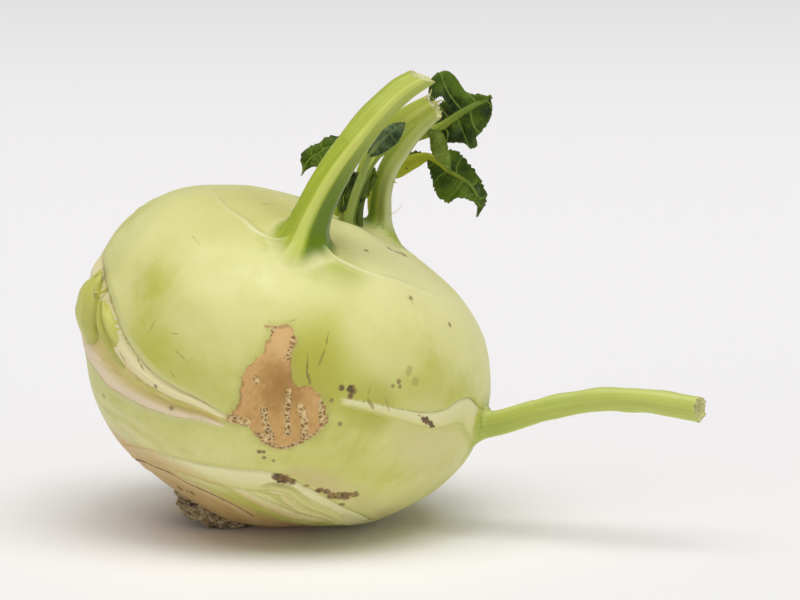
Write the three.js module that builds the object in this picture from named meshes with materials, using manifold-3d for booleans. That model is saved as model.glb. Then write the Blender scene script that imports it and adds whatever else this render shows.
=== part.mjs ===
// A fresh kohlrabi, lying tilted on a small flat spot and the end of its root.
// Millimetres, +Z up. The origin is the point of the resting face under the middle of the bulb.
// The bulb's axis leans towards +X, so the crown points up and to the right and the root down and left.
import * as THREE from 'three';
import { LoftGeometry } from 'three/addons/geometries/LoftGeometry.js';
import { mergeVertices } from 'three/addons/utils/BufferGeometryUtils.js';
import Module from 'manifold-3d';

const wasm = await Module();
wasm.setup();

// ---- driving dimensions -------------------------------------------------------------------------

const LEAN = THREE.MathUtils.degToRad(25);
const BULB_CENTRE = new THREE.Vector3(-5.6, 0, 35.3);
const GAP = 0.3; // clear space between a stalk and the bulb that it grew from
const SMALLEST_RADIUS = 35; // from the bulb's centre to its skin, at the root

const BULB_OUTLINE = [ // distance from the axis and height along it, from the root end to the crown
  [0, -35], [9.2, -34.3], [18, -31.2], [25.4, -27.2], [33.1, -23.2], [39.1, -17.4], [44.2, -9.4],
  [47.3, 0], [47.4, 10.1], [44.7, 19.9], [38.7, 28.1], [30.2, 33.6], [21.2, 36.7], [10.2, 38.1], [0, 37],
];

const BULB_STEPS = 34; // along the outline, from root to crown
const BULB_SIDES = 64;

const FLOOR_SIZE = 400;
const FLOOR_DEPTH = 60;

const ROOT_RADIUS = 8.5;
const ROOT_LENGTH = 4.5; // how far the cut root stands out of the bulb
const ROOT_SIDES = 24;
const ROOT_OUTLINE = [ // share of the root's radius and height above its end; the last two are in the bulb
  [0, 0], [0.55, 0.3], [0.85, 1.6], [1, 3.6], [1.1, 6.5], [0, 8],
];
const ROOT_WAVES = [ // a root snaps off with an uneven rim: how many waves, how high and where they start
  { count: 3, height: 0.08, start: 1 }, { count: 5, height: 0.05, start: 0 },
];

const STALK_SIDES = 14;
const STALK_STATIONS = 16;
const STALK_RIDGE = 0.07; // height of its three ridges as a share of its radius
const GROOVE_WIDTH = 0.5; // radians
const FOOT_LENGTH = 0.16; // share of a stalk's length over which its foot swells

const LEAF_STATIONS = 26;
const BLADE_THICKNESS = 0.9;
const BLADE_OPENS = 0.12; // share of a blade's length over which it spreads out of its stalk
const LOBE_DEPTH = 0.16;

const STUB_SIDES = 12;
const STUB_STATIONS = 12;
const STUB_ROUNDNESS = 0.12; // how blunt a stub's two ends are

// ---- materials ----------------------------------------------------------------------------------

const matte = (color, roughness) => new THREE.MeshStandardMaterial({ color, roughness, metalness: 0 });

const MATERIALS = {
  skin: matte(0xd2d382, 0.45),
  cork: matte(0x8c7252, 0.9),
  stalk: matte(0xa8b45a, 0.4),
  darkStalk: matte(0x6d7a30, 0.45),
  petiole: matte(0x878f2c, 0.45),
  leaf: matte(0x3f4f1e, 0.6),
  greyLeaf: matte(0x44541f, 0.6),
};

// ---- solids: three.js shapes joined and cut by manifold-3d ---------------------------------------

function solidOf(geometry) {
  const bare = new THREE.BufferGeometry().copy(geometry);
  bare.deleteAttribute('normal');
  bare.deleteAttribute('uv');
  const merged = mergeVertices(bare);
  return new wasm.Manifold(new wasm.Mesh({
    numProp: 3,
    vertProperties: new Float32Array(merged.attributes.position.array),
    triVerts: new Uint32Array(merged.index.array),
  }));
}

function geometryOf(solid) {
  const { vertProperties, triVerts } = solid.getMesh();
  const geometry = new THREE.BufferGeometry();
  geometry.setAttribute('position', new THREE.BufferAttribute(vertProperties, 3));
  geometry.setIndex(new THREE.BufferAttribute(triVerts, 1));
  geometry.computeVertexNormals();
  return geometry;
}

// Everything below the surface that the kohlrabi lies on.
function floorSolid() {
  const slab = new THREE.BoxGeometry(FLOOR_SIZE, FLOOR_SIZE, FLOOR_DEPTH);
  slab.translate(0, 0, -FLOOR_DEPTH / 2);
  return solidOf(slab);
}

// Turns a shape made about the bulb's own axis into the object's frame.
function placeOnAxis(geometry) {
  return geometry.rotateX(Math.PI / 2).rotateY(LEAN).translate(...BULB_CENTRE);
}

// ---- the bulb and its root ----------------------------------------------------------------------

function bulbGeometry(scale) {
  const outline = new THREE.SplineCurve(BULB_OUTLINE.map(([r, h]) => new THREE.Vector2(r, h)));
  const points = outline.getPoints(BULB_STEPS).map((p) => p.multiplyScalar(scale));
  points[0].x = 0;
  points.at(-1).x = 0;
  return placeOnAxis(new THREE.LatheGeometry(points, BULB_SIDES));
}

const floor = floorSolid();
const bulbWithGap = solidOf(bulbGeometry(1 + GAP / SMALLEST_RADIUS));

function rootGeometry() {
  const end = -SMALLEST_RADIUS - ROOT_LENGTH;
  const outline = ROOT_OUTLINE.map(([share, height]) => new THREE.Vector2(share * ROOT_RADIUS, end + height));
  const lump = new THREE.LatheGeometry(outline, ROOT_SIDES);
  const position = lump.attributes.position;
  for (let i = 0; i < position.count; i += 1) {
    const around = Math.atan2(position.getZ(i), position.getX(i));
    const wave = ({ count, height, start }) => height * Math.sin(count * around + start);
    const swell = 1 + ROOT_WAVES.reduce((sum, each) => sum + wave(each), 0);
    position.setX(i, position.getX(i) * swell);
    position.setZ(i, position.getZ(i) * swell);
  }
  return placeOnAxis(lump);
}

// ---- stalks and leaves: lofts along a curved line ------------------------------------------------

// The square frame at one place on a path: side and out lie across it, out towards a given direction.
function frameAt(path, t, outHint) {
  const along = path.getTangent(t);
  const side = new THREE.Vector3().crossVectors(outHint, along).normalize();
  const out = new THREE.Vector3().crossVectors(along, side);
  return { at: path.getPoint(t), side, out };
}

// Lofts a closed solid through sections whose outline is given as [across, out] pairs at each t.
function loftAlong(points, outHint, stations, outlineAt) {
  const path = new THREE.CatmullRomCurve3(points.map((p) => new THREE.Vector3(...p)), false, 'centripetal');
  const sections = [];
  for (let i = 0; i <= stations; i += 1) {
    const t = i / stations;
    const { at, side, out } = frameAt(path, t, outHint);
    sections.push(outlineAt(t).map(([across, height]) => at.clone()
      .addScaledVector(side, across)
      .addScaledVector(out, height)));
  }
  return new LoftGeometry(sections, { closed: true, capStart: true, capEnd: true });
}

// A leaf stalk is three-sided with rounded edges, ridged on its outer side and grooved on its inner side.
function stalkOutline(width, groove) {
  return Array.from({ length: STALK_SIDES }, (_, i) => {
    const angle = (i / STALK_SIDES) * 2 * Math.PI;
    const ridges = 1 + STALK_RIDGE * Math.cos(3 * (angle - Math.PI / 2));
    const hollow = groove * Math.exp(-(((angle - 1.5 * Math.PI) / GROOVE_WIDTH) ** 2));
    const radius = (width / 2) * (ridges - hollow);
    return [radius * Math.cos(angle), radius * Math.sin(angle)];
  });
}

// A stalk swells where it leaves the bulb and narrows towards its cut end.
function stalkGeometry({ path, out, base, middle, end, groove }) {
  const swell = (t) => (base - middle) * Math.exp(-((t / FOOT_LENGTH) ** 2));
  return loftAlong(path, new THREE.Vector3(...out), STALK_STATIONS, (t) => (
    stalkOutline(THREE.MathUtils.lerp(middle, end, t) + swell(t), groove)
  ));
}

// A young leaf: a thin stalk that widens at `bladeFrom` into a lobed blade folded along its midrib.
function leafGeometry({ path, out, rib, bladeFrom, halfWidth, lobes, fold }) {
  return loftAlong(path, new THREE.Vector3(...out), LEAF_STATIONS, (t) => {
    const along = Math.max(0, (t - bladeFrom) / (1 - bladeFrom));
    const lobed = 1 + LOBE_DEPTH * Math.sin(2 * Math.PI * lobes * along);
    const spread = halfWidth * Math.sin(Math.PI * Math.min(0.96, 0.06 + along) ** 0.75) * lobed;
    const inBlade = THREE.MathUtils.smoothstep(along, 0, BLADE_OPENS);
    const half = THREE.MathUtils.lerp(rib / 2, Math.max(spread, rib / 2), inBlade);
    const ribHalf = (rib / 2) * (1 - 0.6 * along);
    const edgeHalf = THREE.MathUtils.lerp(rib / 3, BLADE_THICKNESS / 2, inBlade);
    const lift = (x) => fold * Math.abs(x) * inBlade;
    const across = [-half, -half / 2, 0, half / 2, half];
    const thick = [edgeHalf, Math.max(edgeHalf, ribHalf * 0.7), Math.max(edgeHalf, ribHalf)];
    const halfThick = (i) => thick[2 - Math.abs(i - 2)];
    const under = across.map((x, i) => [x, lift(x) - halfThick(i)]);
    const over = across.map((x, i) => [x, lift(x) + halfThick(i)]).reverse();
    return [...under, ...over];
  });
}

const STALKS = {
  front_stalk: {
    path: [[-1.5, -26, 62], [1, -28, 67.5], [2.6, -27, 73], [5.2, -25.5, 79], [8.8, -24, 85.3],
      [13.4, -22.5, 91.6],
      [18.6, -20.5, 97.8], [23.4, -19, 102.2], [27.9, -18, 105]],
    out: [-0.25, -1, 0.1], base: 14, middle: 7.1, end: 5.7, groove: 0.16, material: 'stalk',
  },
  back_stalk: {
    path: [[18, 12, 59], [18.5, 12, 64.5], [18.7, 12, 70], [19.1, 11.5, 76], [20.5, 11, 81], [23.5, 10.5, 86],
      [27.3, 10, 91], [31.5, 9.5, 95]],
    out: [0.6, 1, 0], base: 9.5, middle: 5.2, end: 4.2, groove: 0.3, material: 'darkStalk',
  },
  middle_stalk: {
    path: [[10.5, 5, 63], [11, 5, 69], [12, 5, 75], [14, 4, 83], [18, 2.5, 90], [22.5, 0.5, 94.5],
      [29.5, -2, 98.5]],
    out: [0.6, 1, 0], base: 3, middle: 2, end: 1.8, groove: 0.2, material: 'stalk',
  },
  side_stalk: {
    path: [[32, -5.5, 21.5], [39, -9, 24], [46, -12, 26], [54.5, -16, 29.4], [66, -20.5, 32.6],
      [76.5, -25, 33.5],
      [89.5, -31, 32.5]],
    out: [0, -0.2, -1], base: 9, middle: 5.6, end: 5.8, groove: 0.14, material: 'stalk',
  },
};

const STUBS = {
  left_stub: {
    path: [[-44, -12, 42.5], [-46.8, -13.5, 45.5], [-48.4, -13.5, 51], [-47.6, -14, 56.5], [-44.8, -15, 61]],
    out: [-1, -0.2, 0], width: 9, thick: 5, material: 'stalk',
  },
  left_inner_stub: {
    path: [[-41.2, -23.6, 45], [-43, -23.6, 48], [-43.4, -23.2, 51.5], [-42.6, -22.6, 55]],
    out: [-1, -1, 0], width: 4.5, thick: 3, material: 'stalk',
  },
  under_stub: {
    path: [[-7.5, -38.6, 16.5], [-3.5, -38.2, 14], [1, -35.8, 10.8], [5, -32.8, 8], [9, -29.4, 5]],
    out: [0, -1, -0.6], width: 6.5, thick: 4, material: 'stalk',
  },
};

const LEAVES = {
  upper_leaf: {
    path: [[11, 10.5, 63], [11.8, 11.5, 69], [13.5, 15, 77], [17.5, 17.5, 84], [23.5, 17.5, 88],
      [30, 17, 90.5],
      [36, 15.5, 93.5], [40.5, 13.5, 96], [44, 11.5, 97.5]],
    out: [0.1, -1, 0.25], rib: 2.4, bladeFrom: 0.52, halfWidth: 10.5, lobes: 2, fold: 0.2, material: 'leaf',
  },
  lower_leaf: {
    path: [[17, 17, 60], [18, 18, 67], [19.3, 20, 75], [23.5, 21.5, 80.5], [29.5, 21, 82], [35, 19, 79],
      [39, 16.5, 75.5], [40.5, 13.5, 70.5]],
    out: [0.4, -1, 0.3], rib: 3, bladeFrom: 0.5, halfWidth: 6.5, lobes: 2, fold: 0.25, material: 'leaf',
  },
  left_leaf: {
    path: [[7, 7, 64], [8, 7.5, 70], [9.6, 9, 77], [10, 11, 83], [7.8, 11.4, 87.4], [4.5, 9.5, 86.5],
      [2, 7.5, 84],
      [0.4, 5.5, 80.5]],
    out: [0, -1, 0.5], rib: 1.6, bladeFrom: 0.55, halfWidth: 4.6, lobes: 2, fold: 0.25, material: 'leaf',
  },
  curled_leaf: {
    path: [[13.6, -3.4, 62], [14.2, -3.4, 68], [14.8, -4.5, 76], [15.6, -6, 84], [18.4, -7, 89.5],
      [23.5, -7, 94]],
    out: [-0.5, -1, 0.3], rib: 1.6, bladeFrom: 0.62, halfWidth: 2.8, lobes: 1, fold: 0.6,
    material: 'greyLeaf',
  },
  heart_leaf_1: {
    path: [[9.4, 0.2, 63], [9.5, 0.2, 69.7], [9.7, 0.2, 73], [10.2, 0.2, 76.4], [11.3, 0, 79.4],
      [12.7, -0.8, 81.7]],
    out: [-0.2, -1, 0], rib: 1.4, bladeFrom: 0.45, halfWidth: 1.5, lobes: 2, fold: 0.5, material: 'greyLeaf',
  },
  heart_leaf_2: {
    path: [[11.5, 2.6, 63], [11.5, 2.6, 68.9], [11.4, 2.6, 72.6], [11.6, 2.6, 75.8],
      [12.4, 2.2, 78.6], [13.8, 1.5, 80.9]],
    out: [0, -1, 0], rib: 1.4, bladeFrom: 0.4, halfWidth: 1.4, lobes: 2, fold: 0.5, material: 'petiole',
  },
  heart_leaf_3: {
    path: [[13.4, 8, 61], [13.4, 8, 67.6], [13.4, 8, 71.4], [14, 8, 74.2], [14.8, 8, 77],
      [15.9, 8, 79.3], [17, 7.5, 81.6]],
    out: [0, -1, 0], rib: 1.4, bladeFrom: 0.4, halfWidth: 1.5, lobes: 2, fold: 0.5, material: 'greyLeaf',
  },
};

// A cut stub lies along the skin like a tongue, rounded at both ends.
function stubGeometry({ path, out, width, thick }) {
  return loftAlong(path, new THREE.Vector3(...out), STUB_STATIONS, (t) => {
    const round = Math.sqrt(Math.max(STUB_ROUNDNESS, 1 - (2 * t - 1) ** 2));
    return Array.from({ length: STUB_SIDES }, (_, i) => {
      const angle = (i / STUB_SIDES) * 2 * Math.PI;
      return [(width / 2) * round * Math.cos(angle), (thick / 2) * round * Math.sin(angle)];
    });
  });
}

// ---- assembly -----------------------------------------------------------------------------------

const kohlrabi = new THREE.Group();

function addPiece(parent, name, solid, material) {
  const mesh = new THREE.Mesh(geometryOf(solid), MATERIALS[material]);
  mesh.name = name;
  parent.add(mesh);
}

function addGrown(parent, name, geometry, material) {
  addPiece(parent, name, solidOf(geometry).subtract(bulbWithGap).subtract(floor), material);
}

addPiece(kohlrabi, 'bulb', solidOf(bulbGeometry(1)).subtract(floor), 'skin');
addGrown(kohlrabi, 'root_stub', rootGeometry(), 'cork');

const stems = new THREE.Group();
for (const [name, stalk] of Object.entries(STALKS)) {
  addGrown(stems, name, stalkGeometry(stalk), stalk.material);
}
for (const [name, stub] of Object.entries(STUBS)) {
  addGrown(stems, name, stubGeometry(stub), stub.material);
}

const leaves = new THREE.Group();
for (const [name, leaf] of Object.entries(LEAVES)) {
  addGrown(leaves, name, leafGeometry(leaf), leaf.material);
}

kohlrabi.add(stems, leaves);

export default kohlrabi;
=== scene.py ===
# %% [markdown]
# # A kohlrabi
# A kohlrabi is a stem that swells into a ball above the ground. Leaf stalks grow out of the ball in a
# spiral, and each one that is cut or drops off leaves a long pale scar. This one lies tilted on a small
# flat spot, with its root to the lower left and a tuft of young leaves at its crown.
# The frame holds the real sizes, so every shape below is built around it, in millimetres, and turned
# into metres only when a mesh is made.

# %% Load the frame
import math

import bmesh
import bpy
import mathutils
import numpy as np
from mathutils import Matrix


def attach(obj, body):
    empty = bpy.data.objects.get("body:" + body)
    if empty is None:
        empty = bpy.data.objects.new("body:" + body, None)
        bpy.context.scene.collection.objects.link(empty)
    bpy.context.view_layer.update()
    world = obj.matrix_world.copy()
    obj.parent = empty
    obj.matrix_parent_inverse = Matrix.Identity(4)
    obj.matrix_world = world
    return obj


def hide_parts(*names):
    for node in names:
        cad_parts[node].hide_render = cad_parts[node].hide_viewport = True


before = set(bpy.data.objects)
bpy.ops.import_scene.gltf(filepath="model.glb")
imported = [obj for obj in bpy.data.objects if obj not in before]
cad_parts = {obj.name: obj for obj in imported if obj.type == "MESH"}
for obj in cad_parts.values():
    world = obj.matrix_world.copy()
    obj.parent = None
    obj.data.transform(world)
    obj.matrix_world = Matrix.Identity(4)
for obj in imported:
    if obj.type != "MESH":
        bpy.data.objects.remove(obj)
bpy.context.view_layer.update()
MM = 0.001

# %% [markdown]
# ## Small tools for shapes
# Plants are made of smooth lines and soft bumps, so three tools do most of the work: a smooth line
# through a few points, a soft step between two values, and soft random hills. The hills are a sum of
# waves with a fixed seed, so they come out the same on each run.


# %% Lines, steps and hills
def unit(vectors):
    return vectors / np.linalg.norm(vectors, axis=-1, keepdims=True)


def smooth_line(points, count):
    """Count places, evenly spread, on a smooth line through points."""
    points = np.asarray(points, float)
    gaps = np.linalg.norm(np.diff(points, axis=0), axis=1)
    stops = np.concatenate([[0], np.cumsum(gaps)])
    slopes = np.gradient(points, stops, axis=0)
    where = np.linspace(0, stops[-1], count)
    i = np.clip(np.searchsorted(stops, where, side="right") - 1, 0, len(gaps) - 1)
    t = ((where - stops[i]) / gaps[i])[:, None]
    slope_in, slope_out = gaps[i, None] * slopes[i], gaps[i, None] * slopes[i + 1]
    bend = t * t * (3 - 2 * t)
    return (1 - bend) * points[i] + bend * points[i + 1] + t * (1 - t) * ((1 - t) * slope_in - t * slope_out)


def ease(value, low, high):
    """A soft step: 0 below low, 1 above high."""
    t = np.clip((value - low) / (high - low), 0, 1)
    return t * t * (3 - 2 * t)


def hills(points, size, seed, waves=24):
    """Soft random hills about size mm across and 1 high or deep."""
    rng = np.random.default_rng(seed)
    pitch = rng.uniform(0.6, 1.5, (waves, 1)) * 2 * math.pi / size
    directions = unit(rng.normal(size=(waves, 3))) * pitch
    return np.cos(points @ directions.T + rng.uniform(0, 7, waves)).sum(1) / math.sqrt(waves)


print("a step halfway:", ease(0.5, 0, 1))

# %% [markdown]
# ## Turning points into pieces
# Every piece is a grid of points or a sphere of triangles, made in numpy. A piece also carries marks:
# a number at each point, such as how close it is to a scar, which its finish reads by name. Marks are
# better here than painted images, because they stay sharp at any size and are worked out from shape.


# %% Make a piece
def grid_faces(rows, columns, wrap=False):
    """The quads between the points of a grid; wrap joins its last column to its first."""
    r, c = np.meshgrid(np.arange(rows - 1), np.arange(columns - (not wrap)), indexing="ij")
    right = (c + 1) % columns
    corners = [r * columns + c, r * columns + right, (r + 1) * columns + right, (r + 1) * columns + c]
    return np.stack(corners, -1).reshape(-1, 4).tolist()


def tube(rings):
    """The points and faces of a closed tube through rings of points, with a fan over each end."""
    rows, columns = rings.shape[:2]
    ends = rings[[0, -1]].mean(1)
    points = np.concatenate([rings.reshape(-1, 3), ends])
    first, last = rows * columns, rows * columns + 1
    faces = grid_faces(rows, columns, wrap=True)
    for c in range(columns):
        after = (c + 1) % columns
        faces.append([first, after, c])
        faces.append([last, (rows - 1) * columns + c, (rows - 1) * columns + after])
    return points, faces


def ring_marks(values):
    """Marks given at each point of the rings of a tube, with those of its two end points added."""
    return np.concatenate([values.reshape(-1), values[[0, -1]].mean(1)])


def make_piece(name, points, faces, finish, nodes, marks=None):
    """A smooth mesh that rides on the body and stands for the CAD nodes of those names."""
    mesh = bpy.data.meshes.new(name)
    mesh.from_pydata((points * MM).tolist(), [], faces)
    mesh.shade_smooth()
    for mark, values in (marks or {}).items():
        mesh.attributes.new(mark, "FLOAT", "POINT").data.foreach_set("value", np.float32(values))
    mesh.materials.append(finish)
    piece = bpy.data.objects.new(name, mesh)
    bpy.context.scene.collection.objects.link(piece)
    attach(piece, "root")
    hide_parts(*nodes)
    triangles = sum(len(face) - 2 for face in faces)
    print(f"{name}: {triangles} triangles, {np.round(points.min(0), 1)} to {np.round(points.max(0), 1)} mm")
    return piece


# %% [markdown]
# ## Writing finishes as sums
# A finish is a node tree. Written as nodes it is hard to read, so a socket is wrapped in a small class
# that answers to plus, minus, times and over by adding Math nodes. `1 - mask * 0.5` then means what it
# says. A soft step is one Map Range node, which also turns a mask round or squeezes it.


# %% A socket that adds and multiplies
class Socket:
    def __init__(self, recipe, output):
        self.recipe, self.output = recipe, output

    def maths(self, operation, *values):
        return self.recipe.node("ShaderNodeMath", {"operation": operation}, dict(enumerate(values)))

    def __add__(self, other):
        return self.maths("ADD", self, other)

    def __sub__(self, other):
        return self.maths("SUBTRACT", self, other)

    def __rsub__(self, other):
        return self.maths("SUBTRACT", other, self)

    def __mul__(self, other):
        return self.maths("MULTIPLY", self, other)

    def __truediv__(self, other):
        return self.maths("DIVIDE", self, other)

    __radd__, __rmul__ = __add__, __mul__

    def larger(self, other):
        return self.maths("MAXIMUM", self, other)

    def smaller(self, other):
        return self.maths("MINIMUM", self, other)

    def step(self, low, high, start=0.0, end=1.0):
        """A soft step from start to end as the value goes from low to high."""
        settings = {"interpolation_type": "SMOOTHSTEP"}
        sockets = {"Value": self, "From Min": low, "From Max": high, "To Min": start, "To Max": end}
        return self.recipe.node("ShaderNodeMapRange", settings, sockets)


print("a socket knows", ", ".join(name for name in vars(Socket) if not name.startswith("__")))

# %% [markdown]
# ## A recipe for a finish
# Every node that isn't a Math node comes from one method, which takes its type, its settings and the
# values or links of its sockets. Short methods on top of it name what a finish is made of: marks, noise,
# cells, ramps and bumps. Colours are written as a screen shows them and laid over each other like
# glazes, each with its share.


# %% Recipes and colours
class Recipe:
    """A new finish, to which colours, bumps and numbers are given."""

    def __init__(self, name, **constants):
        self.material = bpy.data.materials.new(name)
        self.material.use_nodes = True
        self.tree = self.material.node_tree
        self.surface = self.tree.nodes["Principled BSDF"]
        for socket, value in constants.items():
            self.surface.inputs[socket.replace("_", " ")].default_value = value
        place = self.node("ShaderNodeTexCoord", output="Object")
        self.place = self.vector("SCALE", place, Scale=1 / MM)

    def node(self, kind, settings=None, sockets=None, output=0):
        made = self.tree.nodes.new(kind)
        for name, value in (settings or {}).items():
            if name == "stops":
                ramp = made.color_ramp
                for spot, shade in value[1:-1]:
                    ramp.elements.new(spot).color = colour(*shade)
                for end, (spot, shade) in ((0, value[0]), (-1, value[-1])):
                    ramp.elements[end].position, ramp.elements[end].color = spot, colour(*shade)
            else:
                setattr(made, name, value)
        for name, value in (sockets or {}).items():
            if isinstance(value, Socket):
                self.tree.links.new(value.output, made.inputs[name])
            else:
                made.inputs[name].default_value = value
        return Socket(self, made.outputs[output])

    def vector(self, operation, *values, output=0, **sockets):
        sockets = dict(enumerate(values)) | sockets
        return self.node("ShaderNodeVectorMath", {"operation": operation}, sockets, output)

    def mark(self, name):
        return self.node("ShaderNodeAttribute", {"attribute_name": name}, output="Fac")

    def noise(self, size, detail, roughness, place=None):
        """Random hills from 0 to 1, about size mm across."""
        sockets = {"Vector": place or self.place, "Scale": 1 / size}
        return self.node("ShaderNodeTexNoise", None, sockets | {"Detail": detail, "Roughness": roughness})

    def cells(self, size, feature="F1"):
        """The distance to the middle of each cell, about size mm across, or to its edge."""
        sockets = {"Vector": self.place, "Scale": 1 / size}
        return self.node("ShaderNodeTexVoronoi", {"feature": feature}, sockets, "Distance")

    def mix(self, share, first, second):
        """The first colour where share is 0 and the second where it is 1."""
        first, second = (shade if isinstance(shade, Socket) else colour(*shade) for shade in (first, second))
        return self.node("ShaderNodeMix", {"data_type": "RGBA"}, {0: share, 6: first, 7: second}, output=2)

    def over(self, tone, *layers):
        """A colour with layers laid over it, each given as its share and its colour."""
        for share, shade in layers:
            tone = self.mix(share, tone, shade)
        return tone

    def ramp(self, value, stops):
        return self.node("ShaderNodeValToRGB", {"stops": stops}, {"Fac": value})

    def bump(self, height, depth, under=None):
        """A bump as high as depth mm where height goes from 0 to 1."""
        sockets = {"Height": height, "Distance": depth * MM, "Strength": 1.0}
        if under:
            sockets["Normal"] = under
        return self.node("ShaderNodeBump", None, sockets)

    def finish(self, **sockets):
        for name, value in sockets.items():
            self.tree.links.new(value.output, self.surface.inputs[name.replace("_", " ")])
        print(f"finish {self.material.name}: {len(self.tree.nodes)} nodes")
        return self.material


def colour(red, green, blue):
    """A colour as a screen shows it, 0 to 255, turned into the light that a finish needs."""
    shown = np.array([red, green, blue]) / 255
    light = np.where(shown <= 0.04045, shown / 12.92, ((shown + 0.055) / 1.055) ** 2.4)
    return (*light.tolist(), 1.0)


print("mid grey, as light:", np.round(colour(128, 128, 128)[0], 3))

# %% [markdown]
# ## The ball, as a globe
# The ball is almost a turned shape about an axis that leans to the right, so places on its skin are
# given as on a globe: latitude 90 is the crown, -90 the root, and longitude 0 faces the viewer. How
# far the skin is from the middle at each latitude is measured on the CAD solid, and a smooth curve
# through those measurements takes its facets away.

# %% Measure the ball
LEAN = math.radians(25)
MIDDLE = np.array([-5.6, 0, 35.3])
AXES = np.array([
    [math.cos(LEAN), 0, -math.sin(LEAN)],  # to the right, across the axis
    [0, 1, 0],
    [math.sin(LEAN), 0, math.cos(LEAN)],  # up the axis, to the crown
])
GLOBE = 45.0  # the ball's mean radius

solid = np.array([v.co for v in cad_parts["bulb"].data.vertices]) / MM
reach = np.linalg.norm(solid - MIDDLE, axis=1)
rise = (solid - MIDDLE) @ AXES[2] / reach
on_skin = solid[:, 2] > 0.1  # leaves out the flat spot that it rests on
CURVES = 14  # how many times the outline may bend
outline = np.polynomial.Legendre.fit(rise[on_skin], reach[on_skin], CURVES)
print("the outline misses the solid by at most", round(abs(outline(rise) - reach)[on_skin].max(), 2), "mm")


def heading(longitude, latitude):
    """The direction from the middle of the ball to places on its skin, given in degrees."""
    lon, lat = np.radians(longitude), np.radians(latitude)
    local = np.stack([np.cos(lat) * np.sin(lon), -np.cos(lat) * np.cos(lon), np.sin(lat)], -1)
    return local @ AXES


def globe_place(directions):
    """The longitude and latitude of directions, in degrees."""
    across, away, up = (directions @ AXES.T).T
    return np.degrees(np.arctan2(across, -away)), np.degrees(np.arcsin(np.clip(up, -1, 1)))


# %% [markdown]
# ## Lines on the skin
# Scars, ridges and scratches all follow lines on the skin. For each place it is enough to know how
# far it lies to the left of the line, how far along the line it is, and how far away: relief and
# colour are then simple functions of those three numbers.


# %% Distance to a line
def skin_line(*places, count=120):
    """A smooth line on the skin through places given as (longitude, latitude)."""
    return unit(smooth_line(heading(*np.array(places, float).T), count))


BATCH = 20000  # places compared with a line at once, which keeps the memory small


def near_line(directions, line):
    """In mm: how far to the left of the line and how far away; and how far along it, from 0 to 1."""
    left = unit(np.cross(line, np.gradient(line, axis=0)))
    nearest = np.empty(len(directions), int)
    for start in range(0, len(directions), BATCH):
        part = slice(start, start + BATCH)
        nearest[part] = np.argmax(directions[part] @ line.T, axis=1)
    side = (directions * left[nearest]).sum(1) * GLOBE
    away = np.linalg.norm(directions - line[nearest], axis=1) * GLOBE
    return side, away, nearest / (len(line) - 1)


print("five degrees of the globe are", round(GLOBE * math.radians(5), 1), "mm")

# %% [markdown]
# ## Leaf scars
# Where a leaf stalk was cut, its broad foot leaves a long crescent: the green skin ends in a thin dark
# edge, then come a pale raised strip, a yellowish hollow where the flesh tore, and a soft pinkish lip.
# Each scar is its upper edge as a line and its width at even steps along it. `across` runs from 0 on
# the upper edge to 1 on the lower one. Those the viewer can't see follow the plant's own spiral.

# %% The scars
ROOT_LINE = skin_line(
    (-84, -56), (-62, -52), (-31, -47.5), (-11, -43.5), (3, -43.5), (14, -46), (24, -50), (40, -58))
SCARS = [  # the upper edge, the width in mm at even steps along it, the relief in mm and how torn it is
    (skin_line((-88, 12), (-70, 9), (-56, 3), (-47, -2), (-36, -5.5), (-28, -6.5), (-17, -6), (-6, -7)),
     [12, 17, 18, 16, 12, 8, 5, 2.5], 1.0, 1.0),
    (skin_line((9, -23), (12, -23.5), (16, -21.5), (20, -22), (24, -24), (29, -25.5), (34, -25.5), (39, -26),
               (46, -28)),
     [1.5, 3.4, 4.6, 4.4, 3.6, 2.6, 2], 0.9, 0.55),
    (skin_line((14, 10), (24, 12), (34, 13), (43, 14), (51, 16), (57, 19), (63, 20), (70, 18), (82, 15)),
     [1.2, 1.6, 2.0, 2.6, 3.6, 5, 6.2, 7, 6], 1.0, 0.0),
    (skin_line((-74, -48), (-50, -41), (-33, -34), (-18, -29), (-4, -24), (10, -18.4), (15, -18.1),
               (23, -19), (35, -21), (49, -23.5), (59, -26), (84, -30)),
     [3, 5, 5.5, 6, 7, 7, 7, 7, 5, 3], 1.0, 0.0),
    (skin_line((-8, -28), (6, -30.5), (18, -31.5), (29, -32), (42, -29.5), (54, -28)),
     [1.5, 3, 3.5, 3.5, 2.5, 1.5], 1.0, 0.0),
    (ROOT_LINE, [3, 5, 5, 4.5, 4, 4, 3], 1.2, 0.0),
    (skin_line((112, 26), (132, 22), (155, 16), (178, 14), (196, 17)), [2, 6, 8, 7, 2], 0.9, 0.9),
    (skin_line((150, -14), (176, -20), (202, -24), (228, -22), (246, -17)), [2, 6, 9, 7, 2], 1.0, 0.6),
    (skin_line((96, -40), (128, -46), (165, -50), (200, -49)), [2, 7, 8, 2], 0.9, 0.3),
    (skin_line((212, 34), (232, 28), (254, 26), (270, 30)), [2, 6, 6, 2], 0.8, 0.2),
]
SCAR_REACH = 25  # how far from its edge a scar can reach, in mm
MARGIN = (0.9, 2.2)  # how far outside a scar its marks begin and finish fading, in mm
TORN_SHAPE = (  # relief in mm at each place across a torn scar
    [-0.5, -0.06, -0.01, 0.02, 0.1, 0.2, 0.33, 0.42, 0.6, 0.76, 0.92, 1.0, 1.2],
    [0.0, 0.3, 0.2, -0.1, 0.3, 0.75, 0.6, -0.55, -0.75, 0.1, 0.45, 0.1, 0.0],
)
HEALED_SHAPE = (  # and across one whose skin has healed
    [-0.5, -0.12, -0.02, 0.02, 0.1, 0.3, 0.75, 0.95, 1.1, 1.3],
    [0.0, 0.22, 0.16, -0.26, 0.24, 0.12, 0.2, 0.24, -0.04, 0.0],
)


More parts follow.
